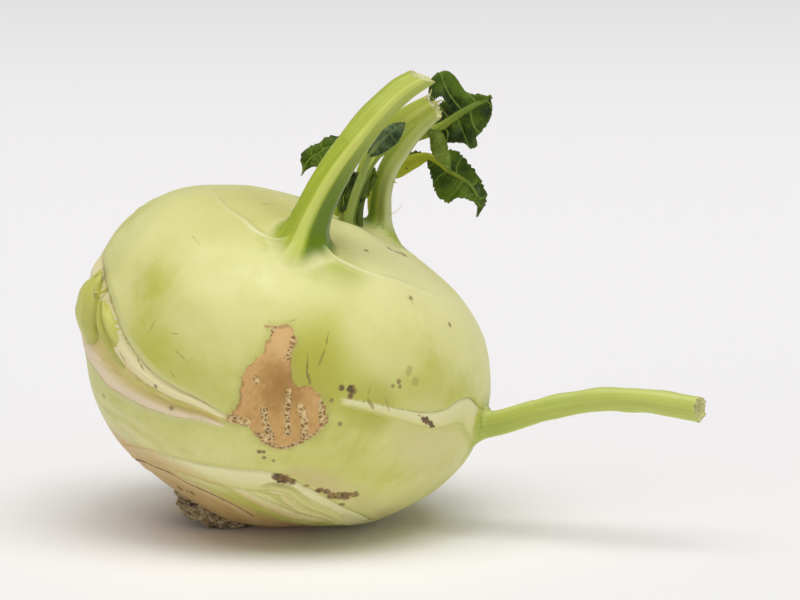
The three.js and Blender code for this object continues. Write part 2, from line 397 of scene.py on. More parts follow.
def scar_at(directions, edge, widths):
    """Where places lie across a scar, how strongly it shows there, and how far outside it they are in mm."""
    side, away, along = near_line(directions, edge)
    width = np.interp(along, np.linspace(0, 1, len(widths)), widths)
    shows = ease(along, 0, 0.1) * ease(1 - along, 0, 0.1) * (away < SCAR_REACH)
    return -side / width, shows, np.maximum.reduce([side, -side - width, away - 1.3 * width])


def scar_marks(directions):
    """The place across the nearest scar at each direction, how strongly it shows and how torn it is."""
    across, shows, torn = np.zeros((3, len(directions)))
    nearness = np.full(len(directions), -np.inf)
    for edge, widths, _, how_torn in SCARS:
        here, strength, outside = scar_at(directions, edge, widths)
        strength = strength * ease(-outside, -MARGIN[1], -MARGIN[0])
        score = strength - 0.001 * np.maximum(outside, 0)
        nearer = score > nearness
        nearness[nearer], across[nearer], shows[nearer] = score[nearer], here[nearer], strength[nearer]
        torn[nearer] = how_torn
    return np.clip(across, -2, 3), shows, torn


print(len(SCARS), "leaf scars")

# %% [markdown]
# ## Wings at the foot of the front stalk
# A kohlrabi's leaf stalk clasps the ball with two wings that run round the crown as a thin raised
# line. Above the line the skin dips towards the crown; below it, it swells. Broad low hills over the
# whole ball, and a waist above the lower scars, keep it from looking turned on a lathe.

# %% The whole relief of the skin
WINGS = [  # where the line runs, how high it is in mm, and the end of it that is at the foot
    (skin_line((-92, 45), (-71, 46), (-58, 45), (-44, 45), (-32, 43.5), (-22, 44), (-17, 47)), 1.2, 1),
    (skin_line((-10, 51), (-1, 47.5), (7, 47), (17, 47.5), (30, 49), (48, 49), (66, 48), (90, 46)), 1.5, 0),
    (skin_line((100, 70), (114, 62), (130, 60), (150, 62), (176, 60)), 0.5, 0),
]
LUMPS = [  # low hills and hollows: longitude, latitude, and how wide and how high in mm
    (30, 84, 8, 1.8), (-50, 70, 9, -0.8), (-15, 58, 6, -1.0), (8, 60, 8, -0.8), (-60, 12, 12, 0.6),
    (20, 24, 14, 0.5), (75, 10, 9, 0.8), (-76, -49, 12, 2.0), (150, 40, 16, 0.8), (230, 10, 18, 0.7),
]


def wing_relief(directions):
    """A raised line with a hollow on its crown side, and the height of the line itself."""
    relief, crest = np.zeros(len(directions)), np.zeros(len(directions))
    for line, high, foot in WINGS:
        side, away, along = near_line(directions, line)
        from_foot = abs(along - foot)
        shows = ease(along, 0, 0.08) * ease(1 - along, 0, 0.08) * ease(-away, -18, -10)
        shows = shows * (0.25 + 0.75 * np.exp(-(from_foot / 0.3) ** 2))
        ridge = np.exp(-(side / 0.75) ** 2)
        hollow = -1.5 * ease(side, -0.4, 2.2) * np.exp(-np.maximum(side, 0) / 5)
        swell = 0.5 * np.exp(-(((side + 3) / 3.5) ** 2))
        relief += high * shows * (0.9 * ridge + hollow + swell)
        crest = np.maximum(crest, shows * ridge)
    return relief, crest


def skin_reach(directions):
    """How far the skin is from the middle of the ball in each direction, with all of its relief."""
    reach = outline(directions @ AXES[2])
    reach = reach + 0.4 * hills(directions * GLOBE, 42, 3) + 0.14 * hills(directions * GLOBE, 15, 4)
    for longitude, latitude, wide, high in LUMPS:
        away = np.linalg.norm(directions - heading(longitude, latitude), axis=1) * GLOBE
        reach += high * np.exp(-(away / wide) ** 2)
    for edge, widths, depth, how_torn in SCARS:
        across, shows, _ = scar_at(directions, edge, widths)
        torn = np.interp(across, *TORN_SHAPE) * how_torn
        healed = np.interp(across, *HEALED_SHAPE) * (1 - how_torn)
        reach += depth * shows * (torn + healed)
    return reach + wing_relief(directions)[0]


def skin_point(directions):
    return MIDDLE + directions * skin_reach(directions)[:, None]


print("the skin at the crown is", round(float(skin_reach(heading(0, 90)[None])[0]), 2), "mm from the middle")

# %% [markdown]
# ## Stalks
# A leaf stalk is rounded with a keel on its outer face, two blunt corners and a groove on its inner
# face. It is a smooth line with a section round it. The same section also tells how far any place is
# outside the stalk, which is what lets its foot melt into the ball.


# %% A stalk and its section
class Stalk:
    def __init__(self, points, outward, widths, keel=0.1, groove=0.15, flat=1.0, melt=4.0, count=170):
        self.line = smooth_line(points, count)
        self.foot = self.line[count // 8]
        self.along = unit(np.gradient(self.line, axis=0))
        outward = np.linspace(*np.broadcast_to(outward, (2, 3)).astype(float), count)
        self.out = unit(outward - (self.along * outward).sum(1)[:, None] * self.along)
        self.side = np.cross(self.along, self.out)
        self.step = np.linspace(0, 1, count)
        self.radius = np.interp(self.step, *np.array(widths, float).T) / 2
        self.keel, self.groove, self.flat, self.melt = keel, groove, flat, melt

    def section(self, turn, step):
        """From the middle line to the surface; turn is the angle away from the outer face."""
        turn = abs(turn)
        shape = 1 + self.keel * (np.exp(-(turn / 0.3) ** 2) - 0.6 * np.exp(-(((turn - 0.85) / 0.4) ** 2)))
        shape += self.keel * np.exp(-(((turn - 2.25) / 0.35) ** 2))
        shape -= self.groove * np.exp(-(((turn - math.pi) / 0.55) ** 2))
        return np.interp(step, self.step, self.radius) * shape

    def nearby(self, points):
        """How far outside the stalk points are, the angle from its outer face, and how far along."""
        gaps = np.stack([((points - place) ** 2).sum(1) for place in self.line])
        nearest = np.argmin(gaps, axis=0)
        offset = points - self.line[nearest]
        x = (offset * self.side[nearest]).sum(1)
        y = (offset * self.out[nearest]).sum(1) / self.flat
        turn, step = np.arctan2(x, y), self.step[nearest]
        return np.hypot(x, y) - self.section(turn, step), turn, step


FRONT = Stalk(
    [(-1.5, -26, 62), (1, -28, 67.5), (2.6, -27, 73), (5.2, -25.5, 79), (8.8, -24, 85.3),
     (13.4, -22.5, 91.6), (18.6, -20.5, 97.8), (23.4, -19, 102.2), (27.9, -18, 105)],
    ((-0.3, -1, 0.1), (0.35, -1, 0.1)),
    [(0, 12.5), (0.12, 10.4), (0.3, 8.2), (0.5, 7.3), (0.75, 6.5), (1, 5.2)],
    keel=0.2, melt=5)
BACK = Stalk(
    [(18, 12, 59), (18.5, 12, 64.5), (18.7, 12, 70), (19.1, 11.5, 76), (20.5, 11, 81), (23.5, 10.5, 86),
     (27.3, 10, 91), (31.5, 9.5, 95)],
    (0.6, 1, 0), [(0, 8), (0.25, 5.2), (0.4, 4.5), (0.7, 4.5), (1, 4.2)], keel=0.16, groove=0.35, melt=5)
MIDDLE_STALK = Stalk(
    [(10.5, 5, 63), (11, 5, 69), (12.4, 5, 75), (15.2, 4, 82.5), (19.4, 2.5, 89), (23.8, 0.5, 93.4),
     (30, -2, 97.8)],
    (0.5, -1, 0.3), [(0, 3.4), (0.3, 2.8), (0.5, 3.6), (0.7, 5.2), (0.9, 5.0), (1, 4.2)],
    keel=0.08, groove=0.1, flat=0.5, melt=2)
SIDE = Stalk(
    [(32, -5.5, 21.5), (39, -9, 24), (46, -12, 26), (54.5, -16, 29.4), (66, -20.5, 32.6), (76.5, -25, 33.5),
     (89.5, -31, 32.5)],
    (0, -0.2, -1), [(0, 6.6), (0.2, 6.0), (0.45, 5.5), (0.8, 5.5), (1, 6.0)], keel=0.05, groove=0.12, melt=3)
FEET = [FRONT, BACK, MIDDLE_STALK, SIDE]
FOOT_FADE = 2.4  # mm over which a foot's green fades into the ball
print(len(FEET), "stalks with a foot on the ball")

# %% [markdown]
# ## How a stalk melts into the ball
# A stalk doesn't stand on a kohlrabi: the ball's skin sweeps up into it. Both meshes are pulled onto
# one shared surface, a smooth union of the two, so the fillet is real shape on both. Under the other
# mesh each sinks out of sight, and both finishes read the same marks, so no seam shows between them.


# %% The shared surface
def skin_gap(points):
    """How far points are outside the ball's skin."""
    offset = points - MIDDLE
    distance = np.linalg.norm(offset, axis=1)
    return distance - skin_reach(offset / distance[:, None])


def union_gap(points, stalk):
    """How far points are outside the ball and stalk melted together, and the stalk's share of that."""
    from_skin, from_stalk = skin_gap(points), stalk.nearby(points)[0]
    blend = np.maximum(stalk.melt - abs(from_skin - from_stalk), 0) / stalk.melt
    share = np.clip(0.5 + (from_skin - from_stalk) / stalk.melt / 2, 0, 1)
    return np.minimum(from_skin, from_stalk) - blend**2 * stalk.melt / 4, share


ROUNDS = 14  # of moving four fifths of the way to the surface


def settle(points, heading_out, stalk, reach=8.0):
    """Moves points along their headings to the shared surface, at most reach mm out."""
    moved = np.zeros(len(points))
    for _ in range(ROUNDS):
        gap, share = union_gap(points + heading_out * moved[:, None], stalk)
        moved = np.clip(moved - 0.8 * gap, -reach, reach)
    return moved, share


GREEN_REACH = 30  # mm from the middle of a foot within which the ball can be green


def stalk_marks(points):
    """Marks shared by the ball and the stalks: how near a stalk, which side of it, how far along."""
    near, right, step = np.zeros((3, len(points)))
    turn = np.ones(len(points))
    for stalk in FEET:
        close = np.linalg.norm(points - stalk.foot, axis=1) < GREEN_REACH
        if not close.any():
            continue
        gap, angle, place = stalk.nearby(points[close])
        nearness = np.exp(-np.maximum(gap, 0) / FOOT_FADE)
        nearer = nearness > near[close]
        spots = np.flatnonzero(close)[nearer]
        near[spots], turn[spots], step[spots] = nearness[nearer], abs(angle[nearer]) / math.pi, place[nearer]
        right[spots] = np.sin(angle[nearer])
    return {"near_stalk": near, "turn": turn, "right": right, "step": step}


print("at the foot of the front stalk the skin gap is", np.round(skin_gap(FRONT.line[[0, 20, 40]]), 1), "mm")

# %% [markdown]
# ## The corky patch
# A wound on the side that faces the viewer has healed as rough tan cork. Its ragged edge is a closed
# line on the globe, and how far inside it a place lies sets both how high the cork stands and which
# colour it has. In a few spots the cork has broken into a net, and those follow short lines of their own.

# %% The patch and its nets
CORK_EDGE = skin_line(
    (-9, 20), (-4, 22), (-1, 20), (-1, 16), (1, 12), (4, 9), (7, 10), (12, 8), (15, 4), (15, 0), (13, -4),
    (10, -8), (6, -10), (1, -9), (-3, -7), (-9, -8), (-8, -3), (-9, 2), (-10, 7), (-8, 12), (-8, 17),
    (-9, 20), count=260)


def cork_depth(directions):
    """How far inside the edge of the corky patch, in mm; less than 0 is outside."""
    side, away, _ = near_line(directions, CORK_EDGE)
    inside = (side < 0) & (away < 14)
    return np.where(inside, away, -np.minimum(away, 20))


LACE = [  # where the cork has broken into a net: a line and how far the net spreads from it, in mm
    (skin_line((-1, -0.5), (1, -4), (4, -7)), 0.8), (skin_line((2.6, 7), (5, 1), (7.6, -4)), 0.6),
    (skin_line((7.4, 4), (10, 1), (12, -3)), 0.8), (skin_line((12, 8), (14, 4), (15, 2)), 0.9),
    (skin_line((-9.5, -7), (-7, -6.6), (-4, -6.2)), 1.2), (skin_line((-6.6, 6.5), (-5.6, 5.6)), 0.5),
    (skin_line((1, -7.6), (5, -9.4), (9, -8.6), (11.6, -6), (13.6, -3), (15.4, 1), (15, 4)), 0.9),
    (skin_line((-2.4, 20), (-1.4, 17), (-1.4, 14.5)), 0.5), (skin_line((-8, 18), (-8, 20)), 0.4),
]


def lace_mark(directions):
    lace = np.zeros(len(directions))
    near_cork = np.flatnonzero(cork_depth(directions) > -2)
    for line, spread in LACE:
        away = near_line(directions[near_cork], line)[1]
        lace[near_cork] = np.maximum(lace[near_cork], np.exp(-((away / spread) ** 2)))
    return lace


print("the middle of the patch is", round(float(cork_depth(heading(2, 0)[None])[0]), 1), "mm from its edge")


# %% [markdown]
# ## The ball's mesh
# A sphere of even triangles has no poles to pinch. It is split finer only where the skin has fine
# shape: round the scars, the feet of the stalks and the corky patch. Its points go out to the skin,
# up the fillets of the stalks, and where it rests they press flat on the floor.


# %% Split a sphere where it needs it
def split_sphere(levels, wanted):
    """A unit sphere of triangles, split again where wanted(directions) is over 1, 2 and so on."""
    mesh = bmesh.new()
    bmesh.ops.create_icosphere(mesh, subdivisions=levels, radius=1)
    for level in (1, 2):
        mesh.verts.index_update()
        directions = unit(np.array([v.co for v in mesh.verts]))
        split = wanted(directions) >= level
        edges = [e for e in mesh.edges if split[e.verts[0].index] and split[e.verts[1].index]]
        bmesh.ops.subdivide_edges(mesh, edges=edges, cuts=1)
        bmesh.ops.triangulate(mesh, faces=mesh.faces)
    mesh.verts.index_update()
    directions = unit(np.array([v.co for v in mesh.verts]))
    faces = [[v.index for v in face.verts] for face in mesh.faces]
    mesh.free()
    return directions, faces


def fine_shape(directions):
    """How finely the skin is split: 0, 1 or 2."""
    level = np.zeros(len(directions))
    longitude, latitude = globe_place(directions)
    seen = (abs(longitude) < 100) & (latitude < 70)
    across, shows, torn = scar_marks(directions)
    level[(shows > 0.05) & (across > -0.3) & (across < 1.2)] = 1
    level[(cork_depth(directions) > -1.5) | (wing_relief(directions)[1] > 0.02)] = 1
    level[(shows > 0.1) & seen & ((abs(across) < 0.08) | (torn > 0.5) & (abs(across - 0.32) < 0.08))] = 2
    points = skin_point(directions)
    for stalk in FEET:
        gap = np.linalg.norm(points - stalk.foot, axis=1)
        level[gap < 2 * stalk.radius.max()] = 1
    return level


print("a scar's edge is split", int(fine_shape(SCARS[0][0][60:61])[0]), "times more than bare skin")

# %% Settle the ball
CORK_RISE = 0.15  # how far the corky patch stands up, in mm
FOOT_REACH = 24  # mm from the middle of a foot within which the skin is drawn up it
FOOT_RISE = 5  # and how far it is drawn up at most
FLOOR_ROUNDING = 0.02  # how softly the skin meets the floor, in square mm

directions, ball_faces = split_sphere(7, fine_shape)
cork = cork_depth(directions)
reach = skin_reach(directions) + CORK_RISE * ease(cork, -0.4, 0.8)
for stalk in FEET:
    close = np.linalg.norm(MIDDLE + directions * reach[:, None] - stalk.foot, axis=1) < FOOT_REACH
    outward = directions[close]
    points = MIDDLE + outward * (reach[close, None] + FOOT_RISE)
    moved, share = settle(points, outward, stalk, FOOT_RISE)
    reach[close] += np.maximum(FOOT_RISE + moved, 0) * (1 - ease(share, 0.62, 0.85))
ball = MIDDLE + directions * reach[:, None]
ball[:, 2] = (ball[:, 2] + np.sqrt(ball[:, 2] ** 2 + FLOOR_ROUNDING)) / 2
across, shows, torn = scar_marks(directions)
crest = wing_relief(directions)[1]
ball_marks = {"across": across, "scar": shows, "torn": torn, "cork": cork, "crest": crest,
              "lace": lace_mark(directions)} | stalk_marks(ball)
print(len(directions), "points; the ball rests on", (ball[:, 2] < 0.3).sum(), "of them")

# %% [markdown]
# ## The colours of the skin
# The skin is pale yellow-green under a thin bloom of wax: yellower and paler at the crown, greener where the
# sun reached it, and greyer low down, which is mostly painted shade, with soft streaks that run from root to
# crown. The feet of the stalks need the same colours, so they are a function that both finishes call.


# %% Skin and stalk colours
def along_axis(recipe):
    """Places with the ball's middle as their start and its axis upright, in mm."""
    sockets = {"Vector": recipe.place, "Center": MIDDLE.tolist(), "Angle": -LEAN}
    upright = recipe.node("ShaderNodeVectorRotate", {"rotation_type": "Y_AXIS"}, sockets)
    return recipe.vector("SUBTRACT", upright, MIDDLE.tolist())


def part_of(recipe, place, axis):
    return recipe.node("ShaderNodeSeparateXYZ", None, {0: place}, output=axis)


def skin_tones(recipe):
    """The colour of clean skin, and the height of its fine grain."""
    upright = along_axis(recipe)
    height = part_of(recipe, upright, "Z")
    patches = recipe.noise(26, 3, 0.6, upright).step(0.35, 0.66)
    streaks = recipe.noise(1, 3, 0.6, recipe.vector("MULTIPLY", upright, (0.3, 0.3, 0.045)))
    mottle = recipe.noise(6, 4, 0.65, upright)
    bloom = recipe.noise(9, 5, 0.65).step(0.48, 0.7)
    grain = recipe.noise(0.9, 3, 0.6)
    return recipe.over(
        (212, 210, 126),
        (patches, (196, 199, 98)),
        (streaks.step(0.42, 0.75) * 0.6, (184, 191, 92)),
        (mottle.step(0.5, 0.72) * 0.35, (188, 194, 88)),
        (mottle.step(0.46, 0.3) * 0.35, (226, 222, 158)),
        (height.step(10, 34) * 0.75, (220, 216, 150)),
        # Darker and greyer low down: mostly painted shade.
        (height.step(-8, -30) * 0.75, (208, 205, 142)),
        (bloom * 0.22, (228, 226, 178)),
        (grain.step(0.45, 0.75) * 0.12, (178, 186, 100))), grain


def stalk_tones(recipe, turn, right, step):
    """The colour of a stalk: a pale keel with a painted highlight, greener sides with painted shade and
    light, and fine streaks.
    """
    across = recipe.node("ShaderNodeCombineXYZ", None, {"X": turn * 16, "Y": step * 3})
    streaks = recipe.noise(1, 3, 0.6, across)
    # Painted shade: the stalk's right side darker green, as if turned away from the light.
    shaded = turn.step(0.08, 0.13) * right.step(0.1, 0.5) * step.step(0.85, 0.3, 0.45, 1.0)
    return recipe.over(
        (172, 186, 60),
        (streaks.step(0.35, 0.7), (148, 166, 44)),
        (shaded, (98, 122, 14)),
        # The keel's own paler green, with a painted highlight on it.
        (turn.step(0.1, 0.05) * 0.65, (206, 211, 112)),
        # Painted light: the inner face on the other side paler, as if lit.
        (turn.step(0.58, 0.75) * right.step(0.3, -0.2) * 0.6, (200, 204, 134)),
        (step.step(0.35, 0.9) * 0.35, (196, 202, 98))), streaks


def foot_tones(recipe, tint=(0, 0, 0), amount=0.0):
    """The colours that the ball and a stalk share where they meet, the fine grain and the streaks."""
    near, turn, right, step = (recipe.mark(name) for name in ("near_stalk", "turn", "right", "step"))
    skin, grain = skin_tones(recipe)
    stalk, streaks = stalk_tones(recipe, turn, right, step)
    foot = recipe.mix(near.step(0.16, 0.7), skin, recipe.mix(amount, stalk, tint))
    return foot, skin, grain, streaks, near


print("the skin, as light:", np.round(colour(212, 210, 126)[:3], 2))

# %% [markdown]
# ## What lies on the skin
# No two kohlrabi are marked alike, so what lies on this one is written down: the colours across a scar,
# soft patches where the skin is greener or paler, dark corky spots and scratches. Each is a place on the
# globe with a size in mm, which stays true if the ball's own size is changed.

# %% Colours, patches, spots and scratches
TORN_COLOURS = [  # from just above a scar's upper edge to just below its lower one
    (0.0, (210, 211, 140)), (0.175, (206, 204, 136)), (0.188, (168, 152, 96)), (0.205, (222, 212, 158)),
    (0.29, (230, 219, 168)), (0.36, (234, 224, 174)), (0.4, (226, 212, 150)), (0.435, (176, 158, 84)),
    (0.47, (204, 196, 108)), (0.57, (220, 203, 122)), (0.64, (228, 208, 150)), (0.7, (236, 217, 184)),
    (0.79, (232, 212, 178)), (0.815, (206, 186, 140)), (0.84, (208, 208, 140)),
]
HEALED_COLOURS = [  # and across one whose skin has healed
    (0.0, (206, 208, 130)), (0.175, (200, 200, 116)), (0.19, (140, 142, 66)), (0.21, (224, 222, 166)),
    (0.3, (232, 228, 180)), (0.6, (224, 220, 160)), (0.74, (214, 212, 138)), (0.82, (192, 193, 108)),
    (0.9, (206, 206, 128)),
]
TINTS = {
    "green": (187, 188, 76), "pale": (230, 227, 164), "tan": (196, 178, 116), "pink": (228, 212, 174),
    "leafy": (160, 172, 68), "olive": (176, 172, 62),
}
TONES = [  # soft patches: longitude, latitude, how wide in mm, which tint, and how strong
    (-54, 4, 8, "green", 0.4), (-40, 6, 9, "green", 0.75), (-27, 6, 9, "green", 0.8),
    (-15, 6, 8, "green", 0.85), (-10, 15, 5, "green", 0.6), (4, 15, 5, "green", 0.9),
    (9, 22, 6, "green", 0.5), (46, 27, 9, "green", 0.7), (30, 20, 6, "green", 0.4),
    (14, -9, 9, "green", 0.35), (-66, 14, 6, "pale", 0.5), (-56, 0, 5, "pale", 0.5),
    # The pale patch at -23, 23 is partly the skin's paler tone and partly a painted highlight.
    (-60, 36, 9, "pale", 0.4), (26, 12, 3, "green", 0.4), (-23, 23, 9, "pale", 0.5),
    (23, 32, 6, "pale", 0.5), (-27, 36, 9, "pale", 0.5), (44, 8, 6, "pale", 0.25),
    (52, 40, 6, "pale", 0.5), (-15, -18, 9, "pale", 0.3), (160, 20, 14, "green", 0.6),
    (210, 8, 14, "green", 0.5), (120, 14, 9, "green", 0.5), (250, -8, 9, "pale", 0.5),
    (180, 40, 12, "pale", 0.5), (25, -21, 4, "tan", 0.8), (32, -23, 4, "tan", 0.8),
    (41, -24.5, 4, "tan", 0.7), (50, -26, 3, "tan", 0.6), (44, 7, 4, "pink", 0.35),
    (52, 4, 4, "pink", 0.4), (62, 1, 4, "pink", 0.35), (-45, 62, 9, "tan", 0.15),
    (-16, 48, 4, "leafy", 0.6), (-9, 49.5, 4, "leafy", 0.7), (-2, 48.5, 3.5, "leafy", 0.6),
    (3, 47.4, 3.5, "leafy", 0.6), (8, 49, 1.6, "leafy", 0.5), (-22, 45.5, 2.5, "leafy", 0.5),
    (3, 12, 3, "olive", 0.65), (6, 12, 3, "olive", 0.65), (5, 16, 3, "olive", 0.5),
    (9, 10, 2.5, "olive", 0.5), (9, 17, 4, "olive", 0.2), (24, 12, 2.5, "olive", 0.5),
    (28, 10.5, 2, "olive", 0.4), (20, -21, 3, "tan", 0.6), (15, 9, 5, "green", 0.2),
    (30, 62, 9, "pale", 0.6), (45, 58, 8, "pale", 0.5), (30, -34, 8, "pale", 0.4),
    (46, -31, 7, "pale", 0.4), (14, -44, 6, "green", 0.5), (28, -44, 7, "green", 0.8),
    (40, -38, 6, "green", 0.7), (62, -24, 3, "tan", 0.7), (74, 40, 9, "pale", 0.4),
    (80, 12, 8, "pale", 0.4), (52, -3, 8, "green", 0.3), (62, -17, 6, "pale", 0.4),
    (-4, 37, 6, "green", 0.25), (-44, 48, 10, "green", 0.2), (-30, 47, 9, "green", 0.25),
    (-36, -24, 7, "green", 0.25),
]
SPOTS = [  # dark corky spots: longitude, latitude, how wide in mm and how dark
    (14, -19, 1.5, 1.0), (11.5, -19.3, 1.0, 0.9), (16.5, -18.6, 0.9, 0.95), (21.5, -18.4, 0.6, 0.8),
    (26, -18.4, 0.9, 0.95), (28.5, -17.8, 0.8, 0.9), (31, -18.6, 1.0, 0.9), (33, -17.6, 1.0, 0.85),
    (35.5, -16.8, 1.3, 0.9), (37.5, -15.4, 0.9, 0.8), (36.6, -20.6, 0.6, 0.8), (61, -26.6, 0.8, 0.7),
    (15, 13, 0.6, 0.9), (18, 13.4, 0.9, 0.95), (18.4, 11.8, 0.6, 0.9), (34, 44, 0.5, 0.7),
    (3, -13, 0.45, 0.95), (4.2, -12.6, 0.35, 0.9), (5, -14.4, 0.4, 0.8), (8, -14.2, 0.35, 0.8),
    (54, 39, 0.5, 0.7), (19, 63, 0.4, 0.8), (-58, -24, 0.5, 0.5), (30.5, 19.5, 0.5, 0.8),
    (29, 18, 0.4, 0.7), (31.4, 18.4, 0.35, 0.8), (33, 23, 0.9, 0.35), (36, 21, 0.9, 0.3),
    (14, 9, 0.35, 0.8), (19, 4, 0.4, 0.6), (-31, -60, 0.8, 0.9), (-19, -57, 0.7, 0.9),
    (-24, -59, 0.4, 0.8), (70, 72, 0.9, 0.8), (86, 68, 1.1, 0.8), (78, 70, 0.7, 0.8),
    (-32, -9, 0.4, 0.7), (-26, -13, 0.5, 0.6), (160, 10, 1.2, 0.7), (205, -12, 1.6, 0.7),
    (240, 8, 0.8, 0.6), (120, -8, 0.6, 0.6),
]
SCRATCHES = [  # from one longitude and latitude to another, how wide in mm and how dark
    (6, 25, 7, 21, 0.5, 0.6), (7, 21, 7, 16, 0.7, 0.6), (3, 18, 5, 13, 0.5, 0.8),
    (5, 13, 7, 10.6, 0.9, 0.9), (-5, 23, -3, 25, 0.3, 0.5), (-31, 3, -25, 1.6, 0.35, 0.6),
    (-40, 3, -40, 7, 0.3, 0.5), (-34, 6, -31, 7, 0.4, 0.5), (-29, -3, -27, -4, 0.3, 0.5),
    (-43, 30, -48, 31, 0.6, 0.25), (-55, 56, -62, 63, 0.8, 0.35), (32, 44, 35, 42, 0.35, 0.7),
    (22.6, 13, 26.5, 10.4, 1.0, 0.6), (28, 14.5, 31, 11.4, 0.3, 0.6), (22.6, 16, 23, 13.4, 0.4, 0.6),
    (-41, -5, -37, -7, 0.5, 0.8), (-48, -6, -44, -8, 0.6, 0.6),
]
print(len(TONES), "soft patches,", len(SPOTS), "spots and", len(SCRATCHES), "scratches")

# %% [markdown]
# ## Spots and strokes
# A spot is the distance from its middle, and a scratch the distance from a short line, each made uneven
# by noise before it is stepped into a mask. Painted images could do the same, but these are sharp from
# close by and need no unwrapping.


# %% Masks for spots and strokes
def spot(recipe, longitude, latitude, wide, ragged, soft=0.3):
    """1 in the middle of a spot on the skin, 0 outside it, with a ragged edge."""
    centre = skin_point(heading(longitude, latitude)[None])[0].tolist()
    away = recipe.vector("DISTANCE", recipe.place, centre, output=1)
    return (away + (ragged - 0.5) * wide * 1.7).step(wide * (1 + soft) + soft * 0.7, wide * (1 - soft))


def stroke(recipe, first, last, wide, ragged, tapered=1.0, thick=0.0):
    """1 along a short line between two points of the skin, 0 away from it."""
    length = float(np.linalg.norm(last - first))
    forward = ((last - first) / length).tolist()
    offset = recipe.vector("SUBTRACT", recipe.place, first.tolist())
    along = recipe.vector("DOT_PRODUCT", offset, forward, output=1)
    near_end = recipe.vector("SCALE", forward, Scale=along.larger(0).smaller(length))
    away = recipe.vector("DISTANCE", offset, near_end, output=1)
    taper = (along * (along * -1 + length)).larger(0) * (1.3 * wide * tapered / length**2)
    return (away + (ragged - 0.5) * 1.8 * wide - taper).step(0.14 + thick, thick - 0.06)


def scratch(recipe, longitudes, latitudes, wide, ragged):
    return stroke(recipe, *skin_point(heading(longitudes, latitudes)), wide, ragged)


def root_line(recipe, ragged):
    """The thin brown line where the green skin ends above the root."""
    seen = int(len(ROOT_LINE) * 0.85)
    ends = skin_point(ROOT_LINE[:seen:len(ROOT_LINE) // 16])
    line = 0.0
    for first, last in zip(ends, ends[1:]):
        line = stroke(recipe, first, last, 0.35, ragged, tapered=0.0, thick=0.4).larger(line)
    return line


scratch_ends = [skin_point(heading(places[0:3:2], places[1:4:2])) for places in SCRATCHES]
longest = max(float(np.linalg.norm(last - first)) for first, last in scratch_ends)
print("the longest scratch is", round(longest, 1), "mm")

# %% [markdown]
# ## Layers over the skin
# Three things cover whole stretches of the skin: pale and green bands low down that turn orange-brown
# near the root, the scars, and the cork. Each is a function that gives its colour from marks and noise,
# so that the finish itself only has to lay them over each other.


# %% Bands, scars and cork
def banded_tones(recipe, tone, upright, height, wander):
    """The skin low down: long pale and green bands, then orange-brown skin round the root."""
    bands = recipe.noise(1, 4, 0.6, recipe.vector("MULTIPLY", upright, (0.06, 0.06, 0.55)))
    banded = height.step(-14, -19)
    return recipe.over(
        tone,
        (bands.step(0.45, 0.62) * banded * 0.6, (228, 220, 164)),
        (bands.step(0.42, 0.34) * banded * 0.35, (176, 180, 104)),
        (height.step(-22.5, -25.5) * 0.85, recipe.mix(wander + 0.5, (214, 180, 124), (196, 156, 96))))


def scar_tones(recipe, upright, height, across, torn):
    """The colours across a torn scar and across a healed one."""
    whole = recipe.noise(3, 2, 0.5).step(0.42, 0.6) * across.step(0.3, 0.38) * across.step(0.56, 0.46)
    orange = recipe.noise(7, 2, 0.5).step(0.55, 0.7) * across.step(0.2, 0.5) * across.step(1.0, 0.7)
    fibres = recipe.noise(1, 5, 0.75, recipe.vector("MULTIPLY", upright, (0.2, 0.2, 1.6)))
    fibres = fibres.step(0.6, 0.68) * across.step(0.3, 0.5) * across.step(0.8, 0.6)
    fresh = recipe.over(
        recipe.ramp((across + (torn - 0.5) * 0.16 + 0.3) / 1.6, TORN_COLOURS),
        (whole * 0.85, (224, 214, 144)),
        (torn.step(0.55, 0.75) * 0.3, (236, 226, 176)),
        (orange * 0.5, (226, 180, 104)),
        (fibres * 0.6, (158, 130, 62)))
    healed = recipe.ramp((across + (torn - 0.5) * 0.05 + 0.3) / 1.6, HEALED_COLOURS)
    return fresh, recipe.mix(height.step(-18, -23) * 0.75, healed, (208, 172, 120))


def cork_tones(recipe, upright, cork, edge, ragged):
    """The corky patch: tan, darker in its middle, with a net of pale threads round dark holes."""
    flecks = recipe.noise(1.3, 4, 0.7, recipe.vector("MULTIPLY", upright, (1.5, 1.5, 0.6)))
    laced = (recipe.mark("lace") + (ragged - 0.5) * 0.9).step(0.3, 0.5)
    net = recipe.cells(1.0, "DISTANCE_TO_EDGE")
    hollow = recipe.mix(recipe.noise(1.3, 1, 0.5).step(0.4, 0.6), (126, 90, 42), (178, 136, 78))
    lace = recipe.mix(net.step(0.07, 0.24), (232, 206, 150), hollow)
    rim = edge.step(0.75, 0.1) * recipe.noise(1.4, 2, 0.6).step(0.42, 0.58)
    return recipe.over(
        (204, 162, 98),
        (recipe.noise(5, 3, 0.6).step(0.42, 0.68), (186, 142, 80)),
        (flecks.step(0.5, 0.7) * 0.45, (216, 184, 130)),
        (flecks.step(0.46, 0.3) * 0.4, (172, 128, 70)),
        (part_of(recipe, upright, "Z").step(8, 15) * 0.8, (216, 182, 124)),
        (cork.step(3.0, 0.5) * 0.5, (212, 168, 112)),
        (spot(recipe, 1, 7, 4.5, ragged, 0.7) * 0.7, (158, 116, 56)),
        (laced * 0.9, lace),
        (rim * 0.6, (142, 96, 50))), laced, net


print("the colours across a scar change", len(TORN_COLOURS), "times torn and", len(HEALED_COLOURS), "healed")

# %% [markdown]
# ## The skin's finish
# Over the clean skin come the patches, the bands, the scars, the scratches and spots, the cork and the
# feet of the stalks, in that order. A little light spreads in the flesh under the skin, which softens
# its shadows, and the bump adds only what is finer than the mesh: grain, torn fibres and crumbly cork.

# %% Make the skin
FLESH = (1.0, 0.9, 0.35)  # how far red, green and blue light spread under the skin


